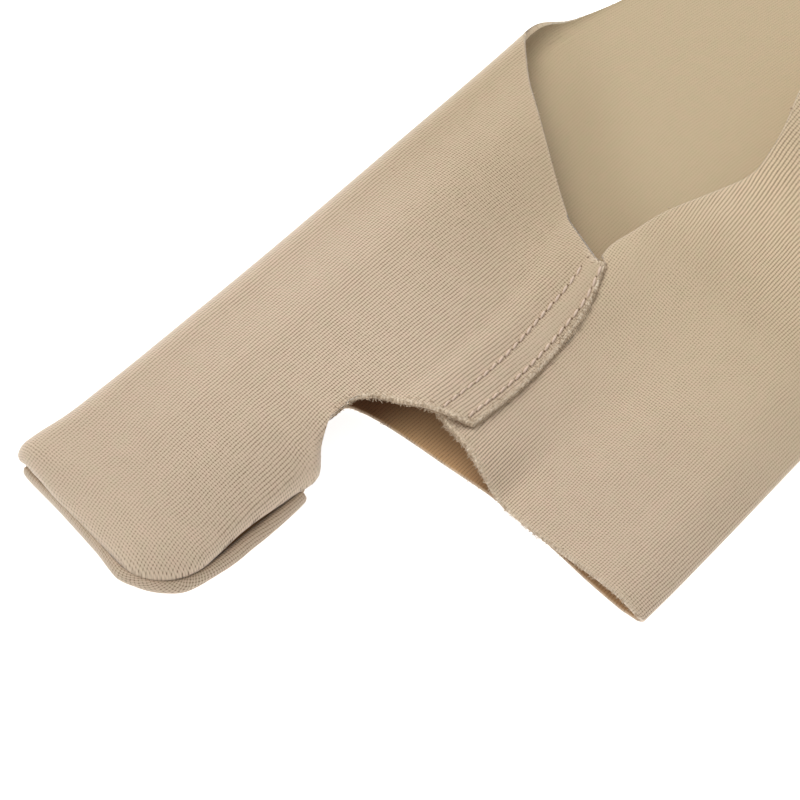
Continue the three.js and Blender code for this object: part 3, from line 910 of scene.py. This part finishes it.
def linear(colour: Colour) -> Tint:
    """A screen colour of 0 to 255 as linear light by the screen's curve, opaque."""
    share = np.array(colour) / 255
    light = np.where(share <= 0.04045, share / 12.92, ((share + 0.055) / 1.055) ** 2.4)
    return (*light.tolist(), 1.0)


@dataclass(frozen=True)
class KnitPattern:
    """Weft knit pattern: rounded ribs along the length, crossed by loops; pairs are a gain and a base."""

    bend_scale: float = 0.11
    bend: float = 0.6
    wobble_scale: float = 1.3
    wobble: float = 0.16
    loop_wobble: float = 0.4
    groove_power: float = 4.5
    dashes: Pair = (1.5, 0.25)
    patch_scale: float = 0.3
    patches: Pair = (1.2, 0.4)
    fleck_scale: float = 2.2
    flecks: Pair = (1.5, 0.25)
    dents: Pair = (-0.3, 1.0)

    def group(self) -> bpy.types.NodeTree:
        """The pattern as a node group.

        A rib is the absolute sine of the girth over its pitch, so it is round on top and sharp in the
        groove. The loops are a cosine of the length over their pitch, which breaks each groove into dashes
        and dents the ribs. Slow noise bends the ribs a little.

        Returns:
            The group, with inputs Cloth, Rib Pitch and Loop Pitch, and outputs Groove, Course and Height.
        """
        tree = bpy.data.node_groups.new("Knit Ribs", "ShaderNodeTree")
        sockets = {"INPUT": ("Cloth", "Rib Pitch", "Loop Pitch"), "OUTPUT": ("Groove", "Course", "Height")}
        for way, names in sockets.items():
            for name in names:
                kind = "NodeSocketVector" if name == "Cloth" else "NodeSocketFloat"
                tree.interface.new_socket(name=name, in_out=way, socket_type=kind)
        board = Board(tree)
        given = board.add("NodeGroupInput").outputs
        cloth = given["Cloth"]
        along, around = board.split(cloth)
        slow, quick = (board.less(board.noise(cloth, scale), 0.5)
                       for scale in (self.bend_scale, self.wobble_scale))
        bent = board.times(slow, self.bend, board.times(quick, self.wobble, around))
        rib = board.math("DIVIDE", bent, given["Rib Pitch"])
        crest = board.math("ABSOLUTE", board.math("SINE", board.times(rib, math.pi)))
        loop = board.math("DIVIDE", board.times(quick, self.loop_wobble, along), given["Loop Pitch"])
        wave = board.times(board.math("COSINE", board.times(loop, 2 * math.pi)), 0.5, 0.5)
        valley = board.math("POWER", board.less(1.0, crest), self.groove_power)
        broken = board.times(valley, board.times(wave, *self.dashes))
        uneven = board.times(broken, board.times(board.noise(cloth, self.patch_scale), *self.patches))
        fleck = board.times(board.noise(cloth, self.fleck_scale), *self.flecks)
        board.add("NodeGroupOutput", {
            "Groove": board.times(uneven, fleck),
            "Course": board.times(board.times(wave, wave), fleck),
            "Height": board.times(crest, board.times(wave, *self.dents)),
        })
        return tree


@dataclass(frozen=True)
class KnitFinish:
    """Finish of the knit cloth: yarn colours, rib sizes, how far the grooves darken it, and the painted
    shade, shadow, highlight and glow that its colours carry.
    """

    yarn: Colour = (204, 184, 160)
    # Groove colour: the knit's rib pattern, darkened as painted shade where shade falls between ribs and
    # loops.
    groove: Colour = (92, 62, 32)
    # Inner face's own colour, set a little darker as painted shade for the inside of the tube.
    inside: Colour = (196, 176, 149)
    # Painted shade: the dark brown the inner face takes under the arch.
    depth: Colour = (150, 112, 78)
    # Pale band of frayed fibres along the cut edges, lightened further as painted highlight on the rims
    # that face away from the light.
    pale_edge_and_highlight: Colour = (244, 228, 204)
    speck: Colour = (182, 159, 131)
    needle_hole: Colour = (104, 80, 58)
    rib_pitch: float = 0.62
    loop_pitch: float = 0.48
    groove_depth: float = 0.92
    lip_depth: float = 0.85
    inside_depth: float = 0.25
    course_depth: float = 0.36
    relief_gain: float = 0.11
    fray_scale: float = 1.7
    fray_reach: Pair = (0.4, 2.0)
    fray_cover: float = 0.9
    speck_scale: float = 3.0
    speck_range: Pair = (0.4, 0.56)
    # Painted light: the inner face near the cut-out glows in the mouth colour, standing in for light
    # bounced in from the floor.
    mouth_glow: float = 0.46
    mouth: Colour = (202, 168, 124)
    cool_patch: Tint = (0.95, 1.01, 0.97, 1.0)
    warm_patch: Tint = (1.05, 0.99, 1.03, 1.0)
    patch_scale: float = 0.4
    fine_detail: float = 3.0
    rear_tint: Tint = (1.0, 1.0, 0.915, 1.0)
    rear_x: Pair = (-35.0, 25.0)
    # Painted shade on the medial side towards the rear, together with the rear's yellower tone.
    medial_rear_shade: Tint = (0.9, 0.885, 0.8, 1.0)
    medial_girth: Pair = (-5.0, 5.0)
    # Painted shadow of the medial panel's V edge on the inner face.
    painted_shadow_tint: Tint = (0.86, 0.85, 0.83, 1.0)
    stitch_pitch: float = 2.15
    row_gap: float = 4.3
    hole_radius: float = 0.34
    hole_core: float = 0.3
    bump: float = 0.00012
    bump_strength: float = 0.25
    roughness: float = 0.9
    specular: float = 0.2
    sheen: float = 0.5

    def holes(self, board: Board) -> Socket:
        """Mask of the needle holes: 1 in a round spot at each stitch's end along the two sewn rows."""
        length, place_across = board.split(board.uv("lap"))
        turn = board.math("FRACT", board.math("DIVIDE", length, self.stitch_pitch))
        along = board.times(board.less(turn, 0.5), self.stitch_pitch)
        spots = []
        for row in (0.0, 1.0):
            across = board.times(board.less(place_across, row), self.row_gap)
            reach = board.math("SQRT", board.times(along, along, board.times(across, across)))
            spots.append(board.fall(reach, self.hole_radius * self.hole_core, self.hole_radius))
        return board.math("MAXIMUM", *spots)

    def material(self, name: str, group: bpy.types.NodeTree, sewn: bool) -> bpy.types.Material:
        """The knit's material.

        Args:
            name: The material's name.
            group: The knit pattern.
            sewn: Whether the piece carries side values, edge distances and sewn rows.

        Returns:
            The material.
        """
        made, board, shader = new_material(name)
        cloth = board.uv("cloth")
        fed = {"Cloth": cloth, "Rib Pitch": self.rib_pitch, "Loop Pitch": self.loop_pitch}
        knit = board.add("ShaderNodeGroup", fed, node_tree=group).outputs
        depth: object = self.lip_depth
        course: object = self.course_depth
        yarn: object = linear(self.yarn)
        if sewn:
            side, deep, relief, fray, edge, glow, painted_shadow = (
                board.add("ShaderNodeAttribute", attribute_name=key).outputs["Fac"]
                for key in ("side", "deep", "relief", "fray", "edge", "glow", "painted_shadow"))
            rim = board.math("MINIMUM", board.times(side, 2.0), 1.0)
            within = board.less(1.0, rim)
            # Under the arch the inner face's grooves deepen along with the painted shade.
            plain = board.times(deep, self.groove_depth - self.inside_depth, self.inside_depth)
            outer = board.times(relief, self.groove_depth)
            depth = board.times(side, outer, board.times(board.less(1.0, side), plain))
            course = board.times(board.math("MINIMUM", relief, 1.0), board.times(side, self.course_depth))
            fed = {0: linear(self.yarn)[:3], "Scale": board.times(relief, self.relief_gain, 1.0)}
            lifted = board.add("ShaderNodeVectorMath", fed, operation="SCALE").outputs[0]
            # Inner face: its own colour, turning to the painted shade colour under the arch; the outer face
            # and rim take the yarn.
            yarn = board.mix(rim, board.mix(deep, linear(self.inside), linear(self.depth)), lifted)
        # Grooves and loops turn the yarn towards the groove colour: the rib pattern with painted shade in
        # its grooves.
        dark = board.times(knit["Groove"], depth, board.times(knit["Course"], course))
        tone = board.mix(dark, yarn, linear(self.groove))
        patch = board.noise(cloth, self.patch_scale, self.fine_detail)
        tone = board.mix(1.0, tone, board.mix(patch, self.cool_patch, self.warm_patch), "MULTIPLY")
        if sewn:
            length, girth = board.split(cloth)
            # Towards the rear the cloth turns yellower, and on the medial side it is also darkened there as
            # painted shade.
            rear = board.mix(board.fall(girth, *self.medial_girth), self.medial_rear_shade, self.rear_tint)
            shade = board.mix(board.fall(length, *self.rear_x), rear, WHITE)
            # Painted shadow on the inner face, behind the V's medial edge.
            shadow_layer = board.mix(board.times(painted_shadow, within), WHITE, self.painted_shadow_tint)
            for layer in (shade, shadow_layer):
                tone = board.mix(1.0, tone, layer, "MULTIPLY")
            # Cut edges: a pale band of fibres, partly painted highlight, with darker specks.
            frayed = board.math("ADD", board.noise(cloth, self.fray_scale), edge)
            band = board.times(board.fall(frayed, *self.fray_reach), self.fray_cover)
            pale = board.times(board.times(band, rim), board.math("MINIMUM", fray, 1.0))
            specks = board.fall(board.noise(cloth, self.speck_scale, self.fine_detail), *self.speck_range)
            tone = board.mix(pale, tone, board.mix(specks, linear(self.pale_edge_and_highlight), linear(self.speck)))
            tone = board.mix(self.holes(board), tone, linear(self.needle_hole))
            # Painted light: the inner face by the cut-out glows, less in the grooves.
            lit = board.mix(dark, board.mix(board.times(glow, within), BLACK, linear(self.mouth)), BLACK)
            board.fill(shader, {"Emission Color": lit, "Emission Strength": self.mouth_glow})
        fed = {"Strength": self.bump_strength, "Distance": self.bump, "Height": knit["Height"]}
        board.fill(shader, {
            "Base Color": tone, "Normal": board.add("ShaderNodeBump", fed).outputs[0],
            "Roughness": self.roughness, "Specular IOR Level": self.specular, "Sheen Weight": self.sheen})
        return made


@dataclass(frozen=True)
class ThreadFinish:
    """Finish of sewing thread and loose fibres: a pale twisted yarn."""

    pale: Colour = (234, 214, 196)
    deep: Colour = (204, 178, 156)
    twist: float = 2600.0
    roughness: float = 0.8
    specular: float = 0.25

    def material(self, name: str) -> bpy.types.Material:
        """Thread material with fine noise along it."""
        made, board, shader = new_material(name)
        grain = board.noise(board.add("ShaderNodeTexCoord").outputs["Object"], self.twist)
        board.fill(shader, {
            "Base Color": board.mix(grain, linear(self.deep), linear(self.pale)),
            "Roughness": self.roughness, "Specular IOR Level": self.specular})
        return made


@dataclass
class Piece:
    """One piece of the sleeve's looks, which rides on the part's only body."""

    form: SleeveForm

    def dress(self, piece: bpy.types.Object, material: bpy.types.Material) -> None:
        """Gives the piece its material and body."""
        piece.data.materials.append(material)
        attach(piece, BODY)


@dataclass
class CutEdges:
    """Cut edges of a cloth: its middle surface, the edges' vertex pairs and how much each vertex frays."""

    vertices: Array
    normals: Array
    out: Array
    edges: Array
    fray: Array


@dataclass
class KnitSleeve(Piece):
    """The knit cloth itself, one folded and lapped sheet with real thickness; flat is its two sides and is
    not used.
    """

    flat: Pair = (0.22, 0.195)
    area: float = 0.029
    rim_relief: float = 0.3
    # Painted shade under the arch fades out between these x.
    arch_shade_x: Pair = (-32.0, 30.0)
    # Where the painted glow on the inner face reaches, and how much of it the lateral side gets.
    glow_reach: float = 5.0
    glow_medial_y: Pair = (1.0, 13.0)
    glow_middle_y: Pair = (-18.0, -6.0)
    glow_lateral_y: Pair = (-44.0, -26.0)
    glow_lateral: float = 0.5
    # Painted shadow: how far behind the V's edge it lies, its spread, and where and how much it fades.
    painted_shadow_offset: float = 11.0
    painted_shadow_half: float = 9.0
    painted_shadow_fades_y: Pair = (28.0, 42.0)
    painted_shadow_fade: float = 0.5

    def build(self) -> tuple[bpy.types.Object, CutEdges]:
        """Makes the sheet's mesh with its cloth coordinates.

        Returns:
            The sheet, and its cut edges for the loose fibres.
        """
        grid = ClothGrid(self.form).build()
        shell = Shell(self.form.cloth)
        there, quads = shell.grid_quads(grid["points"])
        middle = grid["points"][there]
        walls, faces, source, side = shell.close(middle, quads)
        piece = make_piece("knit_sleeve", walls, [faces])
        for name in ("cloth", "lap"):
            add_uv(piece, name, grid[name][there][source])
        x, y, _ = middle[source].T
        edges = shell.free_edges(quads, len(middle))
        # Mask of the painted glow: by the cut-out's mouth, fading behind the sole's cut.
        mouth = (1 - smoothstep(y, *self.glow_medial_y)) * smoothstep(y, *self.glow_middle_y)
        mouth = mouth + self.glow_lateral * (1 - smoothstep(y, *self.glow_lateral_y))
        behind = np.maximum(x - SOLE_CUT.at(y, "x"), 0)
        # Painted shadow of the V's medial edge on the sole's inner face, fading towards the medial fold.
        painted_shadow = hump(x - REAR_CUT.at(y, "x"), self.painted_shadow_offset, self.painted_shadow_half)
        for name, values in {
            "fray": grid["fray"][there][source],
            "relief": grid["relief"][there][source] * np.where(side == RIM_SIDE, self.rim_relief, 1.0),
            "side": side,
            "edge": shell.edge_distance(middle, np.unique(edges))[source],
            # deep: painted shade under the arch on the inner face, 1 ahead and 0 behind.
            "deep": 1 - smoothstep(x, *self.arch_shade_x),
            "glow": np.exp(-behind / self.glow_reach) * mouth,
            "painted_shadow": painted_shadow * (1 - self.painted_shadow_fade * smoothstep(y, *self.painted_shadow_fades_y)),
        }.items():
            add_value(piece, name, values)
        normals = shell.normals(middle, quads)
        out = shell.rim_directions(middle, normals, edges)
        return piece, CutEdges(middle, normals, out, edges, grid["fray"][there])

    def dress(self, piece: bpy.types.Object, material: bpy.types.Material) -> None:
        """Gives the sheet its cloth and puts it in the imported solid's place."""
        super().dress(piece, material)
        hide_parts(NODE)


@dataclass
class ToeSeam(Piece):
    """Turned seam round the toe: the sole layer rolls up into a lip that meets the upper in a crease.

    The two stages are each a centre and a half width.
    """

    half_least: float = 0.55
    half_growth: float = 0.38
    limb: float = 0.93
    half_height: float = 1.4
    slot_drop: float = 0.25
    slot_stage: Pair = (2.4, 0.3)
    tip_gain: float = 0.22
    tip_stage: Pair = (0.5, 0.35)
    floor_gap: float = 0.02
    least_swell: float = 0.05
    wrap_radius: float = 1.4
    start_inset: float = -0.5
    sides: int = 20
    tip_steps: int = 44
    corner_steps: int = 40
    side_steps: int = 50
    end_length: float = 1.2

    def path(self) -> tuple[Array, Array, Array, Array]:
        """The seam's line, the direction out of the toe, how far the lip reaches and half its height.

        The line is straight along the tip, a quarter circle round the corner and nearly straight along the
        side. A stage from 0 to 3 runs through these three in turn.

        Returns:
            Points and unit outward directions in plan, the lip's reach beyond the line and its half height.
        """
        form = self.form
        start_x, start_y = form.tip_lateral
        end_y = float(form.medial_top(np.array(form.tip_medial_x)))
        tip_y = np.linspace(end_y - self.start_inset, start_y, self.tip_steps, endpoint=False)
        tip = np.stack([form.tip_line(tip_y), tip_y], 1)
        turn = np.linspace(0, 1, self.corner_steps, endpoint=False)
        bend = turn * math.pi / 2
        centre = np.array([start_x + form.toe_corner, start_y])
        corner = centre - form.toe_corner * np.stack([np.cos(bend), np.sin(bend)], 1)
        side_x = np.linspace(centre[0], form.seam_end_x, self.side_steps)
        front_x, front_y = form.toe_side_front
        side_y = lerp(front_y, form.toe_side_rear_y, smoothstep(side_x, front_x, form.seam_end_x))
        stage = np.concatenate([np.linspace(0, 1, self.tip_steps, endpoint=False), 1 + turn,
                                2 + np.linspace(0, 1, self.side_steps)])
        angle = np.clip(stage - 1, 0, 1) * math.pi / 2
        line = np.concatenate([tip, corner, np.stack([side_x, side_y], 1)])
        high = self.half_height - self.slot_drop * hump(stage, *self.slot_stage)
        high = high + self.tip_gain * hump(stage, *self.tip_stage)
        return line, -np.stack([np.cos(angle), np.sin(angle)], 1), LIP_OUTLINE.at(stage, "out"), high

    def build(self) -> bpy.types.Object:
        """Carries an oval section along the seam's line; both ends close in a quarter round."""
        line, out, outline, high = self.path()
        step = np.concatenate([[0], np.cumsum(np.linalg.norm(np.diff(line, axis=0), axis=1))])
        ending = np.minimum(step, step[-1] - step) / self.end_length
        swell = np.maximum(shoulder(ending, 1.0), self.least_swell)
        theta = ring_angles(self.sides)
        half = self.half_least + self.half_growth * outline
        middle = outline - self.limb * half
        across = middle[:, None] + (half * swell)[:, None] * np.cos(theta)
        z = high[:, None] + self.floor_gap + (high * swell)[:, None] * np.sin(theta)
        plan = line[:, None, :] + out[:, None, :] * across[..., None]
        points = np.concatenate([plan, z[..., None]], -1).reshape(-1, 3)
        quads, ends = tube_faces(1, len(line), self.sides)
        piece = make_piece("toe_seam", points, [quads[:, ::-1], ends[:, ::-1]])
        arc = (theta - math.pi / 2) * self.wrap_radius
        flat = line[:, None, :] + out[:, None, :] * arc[None, :, None]
        add_uv(piece, "cloth", flat.reshape(-1, 2))
        return piece


@dataclass
class LapStitches(Piece):
    """Two rows of lockstitch along the lap, each stitch a short bowed thread."""

    pitch: float = 2.15
    length: float = 1.7
    radius: float = 0.27
    bow: float = 0.32
    bow_power: float = 0.6
    sink: float = 0.1
    end_share: float = 0.55
    slant: float = 0.16
    rings: int = 9
    sides: int = 8
    spans: dict[str, Pair] = field(
        default_factory=lambda: {"lower": (-36.4, 5.6), "upper": (-38.7, 5.2)})

    def build(self) -> bpy.types.Object:
        """Carries a round section along each stitch, which bows over the cloth from hole to hole."""
        form = self.form
        t = np.linspace(0, 1, self.rings)
        lead = (self.pitch - self.length) / 2
        rows = []
        for row, (first, last) in self.spans.items():
            begin, stop = math.ceil(first / self.pitch - 0.5), math.floor(last / self.pitch - 0.5)
            hole = (np.arange(begin, stop) + 0.5) * self.pitch
            x = hole[:, None] + lead + t * self.length
            y = STITCH_LINES.at(x, row) + self.slant * (2 * t - 1)
            slope = form.flap_height(x, y + 0.5) - form.flap_height(x, y - 0.5)
            top = form.flap_height(x, y) + form.half * np.hypot(1, slope)
            z = top + self.bow * np.sin(math.pi * t) ** self.bow_power - self.sink
            rows.append(np.stack([x, y, z], -1))
        line = np.concatenate(rows)
        along = unit(np.gradient(line, axis=1))
        across = unit(np.cross(np.array([0.0, 0.0, 1.0]), along))
        rise = np.cross(along, across)
        theta = ring_angles(self.sides)
        thick = self.radius * lerp(self.end_share, 1.0, np.sin(math.pi * t))[None, :, None, None]
        ring = across[:, :, None] * np.cos(theta)[:, None] + rise[:, :, None] * np.sin(theta)[:, None]
        points = line[:, :, None] + thick * ring
        quads, ends = tube_faces(len(line), self.rings, self.sides)
        return make_piece("lap_stitches", points.reshape(-1, 3), [quads, ends])


@dataclass
class EdgeFuzz(Piece):
    """Loose fibres along the cut edges, each a short curved hair; some lie beside the edge.

    The fray's length is a base and a gain.
    """

    cut: CutEdges
    per_mm: float = 24.0
    fray_power: float = 1.3
    longest: float = 0.5
    radius: float = 0.11
    taper: float = 0.6
    lying: float = 0.4
    lying_inset: Pair = (0.1, 1.2)
    rim_inset: float = 0.05
    lying_lift: float = 0.56
    rim_lift: Pair = (-0.45, 0.5)
    lying_outward: float = 0.8
    rim_outward: Pair = (0.4, 1.0)
    lying_lean: Pair = (0.1, 0.5)
    rim_lean: float = 0.6
    sideways: float = 0.7
    curl: float = 0.4
    curl_share: float = 0.6
    lengths: Pair = (0.4, 1.0)
    fray_length: Pair = (0.75, 0.35)
    thickness: Pair = (0.6, 1.2)
    floor_gap: float = 0.02
    rings: int = 3
    sides: int = 3
    seed: int = 7

    def build(self) -> bpy.types.Object:
        """Scatters the hairs by length and fray, and carries a round section along each one's curve.

        Some hairs leave the rim outwards with a random lean; the others lie on the outer side beside it,
        in any direction. Each one's curl grows with the square of the distance along it.

        Returns:
            The hairs, as one object.
        """
        random, cut = np.random.default_rng(self.seed), self.cut
        a, b = cut.edges[:, 0], cut.edges[:, 1]
        span = np.linalg.norm(cut.vertices[b] - cut.vertices[a], axis=1)
        weight = span * ((cut.fray[a] + cut.fray[b]) / 2) ** self.fray_power
        count = int(self.per_mm * weight.sum())
        column = (count, 1)
        pick = random.choice(len(a), count, p=weight / weight.sum())
        a, b, share = a[pick], b[pick], random.random(column)
        normal, out, root = (lerp(rows[a], rows[b], share) for rows in (cut.normals, cut.out, cut.vertices))
        along = np.cross(normal, out)
        lies = random.random(column) < self.lying
        inset = np.where(lies, random.uniform(*self.lying_inset, column), self.rim_inset)
        lift = np.where(lies, self.lying_lift, random.uniform(*self.rim_lift, column))
        root = root + normal * lift - out * inset
        outward = np.where(lies, random.normal(0, self.lying_outward, column),
                           random.uniform(*self.rim_outward, column))
        lean = np.where(lies, random.uniform(*self.lying_lean, column),
                        random.normal(0, self.rim_lean, column))
        way = out * outward + normal * lean + along * random.normal(0, self.sideways, column)
        curl = random.normal(0, self.curl, (count, 3))
        base, gain = self.fray_length
        reach = self.longest * random.uniform(*self.lengths, count) * (base + gain * cut.fray[a])
        t = np.linspace(0, 1, self.rings)[:, None]
        bent = way[:, None] * t + curl[:, None] * t * t * self.curl_share
        line = root[:, None] + reach[:, None, None] * bent
        theta = ring_angles(self.sides)
        ring = normal[:, None] * np.sin(theta)[:, None] + along[:, None] * np.cos(theta)[:, None]
        thick = self.radius * random.uniform(*self.thickness, count)[:, None] * (1 - self.taper * t[:, 0])
        points = line[:, :, None] + thick[:, :, None, None] * ring[:, None]
        points[..., 2] = np.maximum(points[..., 2], self.floor_gap)
        quads, ends = tube_faces(count, self.rings, self.sides)
        return make_piece("edge_fuzz", points.reshape(-1, 3), [quads, ends])


@dataclass
class Studio:
    """Plain white sweep, soft light from above and a camera at the photograph's angle."""

    azimuth: float = -47.0
    elevation: float = 57.0
    target: tuple[float, float, float] = (-36.07, 11.1, 0.0)
    distance: float = 823.0
    lens: float = 200.0
    sensor: float = 36.0
    floor_half: float = 3.0
    floor_white: Tint = (0.9, 0.9, 0.9, 1.0)
    floor_roughness: float = 0.9
    floor_glow: float = 0.85
    sky: float = 0.46
    key_power: float = 12.5
    key_size: float = 1.2
    key_place: tuple[float, float, float] = (0.1, 0.55, 1.1)

    def camera(self) -> None:
        """A long lens that looks down on the sleeve from its outer front."""
        a, e = math.radians(self.azimuth), math.radians(self.elevation)
        away = Vector((-math.sin(a), math.cos(a), 0))
        forward = away * math.cos(e) - Vector((0, 0, 1)) * math.sin(e)
        right = Vector((math.cos(a), math.sin(a), 0))
        up = right.cross(forward)
        aim = Vector(place(np.array(self.target)))
        data = bpy.data.cameras.new("camera")
        data.lens, data.sensor_width = self.lens, self.sensor
        data.clip_start, data.clip_end = 0.01, 50.0
        made = new_object("camera", data)
        turn = Matrix((right, up, -forward)).transposed()
        made.matrix_world = Matrix.Translation(aim - forward * self.distance * MM) @ turn.to_4x4()
        bpy.context.scene.camera = made

    def floor(self) -> None:
        """A white floor with a slight glow of its own, like a lit sweep."""
        half = self.floor_half
        mesh = bpy.data.meshes.new("floor")
        corners = [(-half, -half, 0), (half, -half, 0), (half, half, 0), (-half, half, 0)]
        mesh.from_pydata(corners, [], [(0, 1, 2, 3)])
        white, board, shader = new_material("floor white")
        board.fill(shader, {
            "Base Color": self.floor_white, "Roughness": self.floor_roughness,
            "Emission Color": WHITE, "Emission Strength": self.floor_glow})
        mesh.materials.append(white)
        new_object("floor", mesh)

    def lights(self) -> None:
        """An even white sky and a broad soft light above the big-toe side."""
        world = bpy.data.worlds.new("sky")
        bpy.context.scene.world = world
        world.use_nodes = True
        board = Board(world.node_tree)
        board.fill(board.tree.nodes["Background"], {"Color": WHITE, "Strength": self.sky})
        data = bpy.data.lights.new("key", "AREA")
        data.size, data.energy = self.key_size, self.key_power
        made = new_object("key", data)
        made.location = self.key_place
        made.rotation_mode = "QUATERNION"
        made.rotation_quaternion = (-Vector(self.key_place)).to_track_quat("-Z", "Y")

    def build(self) -> None:
        """Sets camera, floor, lights and plain screen colours."""
        self.camera()
        self.floor()
        self.lights()
        bpy.context.scene.view_settings.view_transform = "Standard"


def main() -> None:
    """Builds the studio and every piece of the sleeve in order."""
    logging.basicConfig(level=logging.INFO, format="%(message)s")
    Studio().build()
    form = SleeveForm()
    group, finish = KnitPattern().group(), KnitFinish()
    fibre = ThreadFinish(pale=(222, 203, 178), deep=(196, 174, 146))
    sleeve = KnitSleeve(form)
    sheet, cut = sleeve.build()
    sleeve.dress(sheet, finish.material("knit cloth", group, True))
    others = []
    for part, material in (
        (ToeSeam(form), finish.material("knit lip", group, False)),
        (LapStitches(form), ThreadFinish().material("sewing thread")),
        (EdgeFuzz(form, cut), fibre.material("loose fibre")),
    ):
        others.append(part.build())
        part.dress(others[-1], material)
    for piece in (sheet, *others):
        LOG.info("%s: %d faces", piece.name, len(piece.data.polygons))


if __name__ == "__main__":
    main()
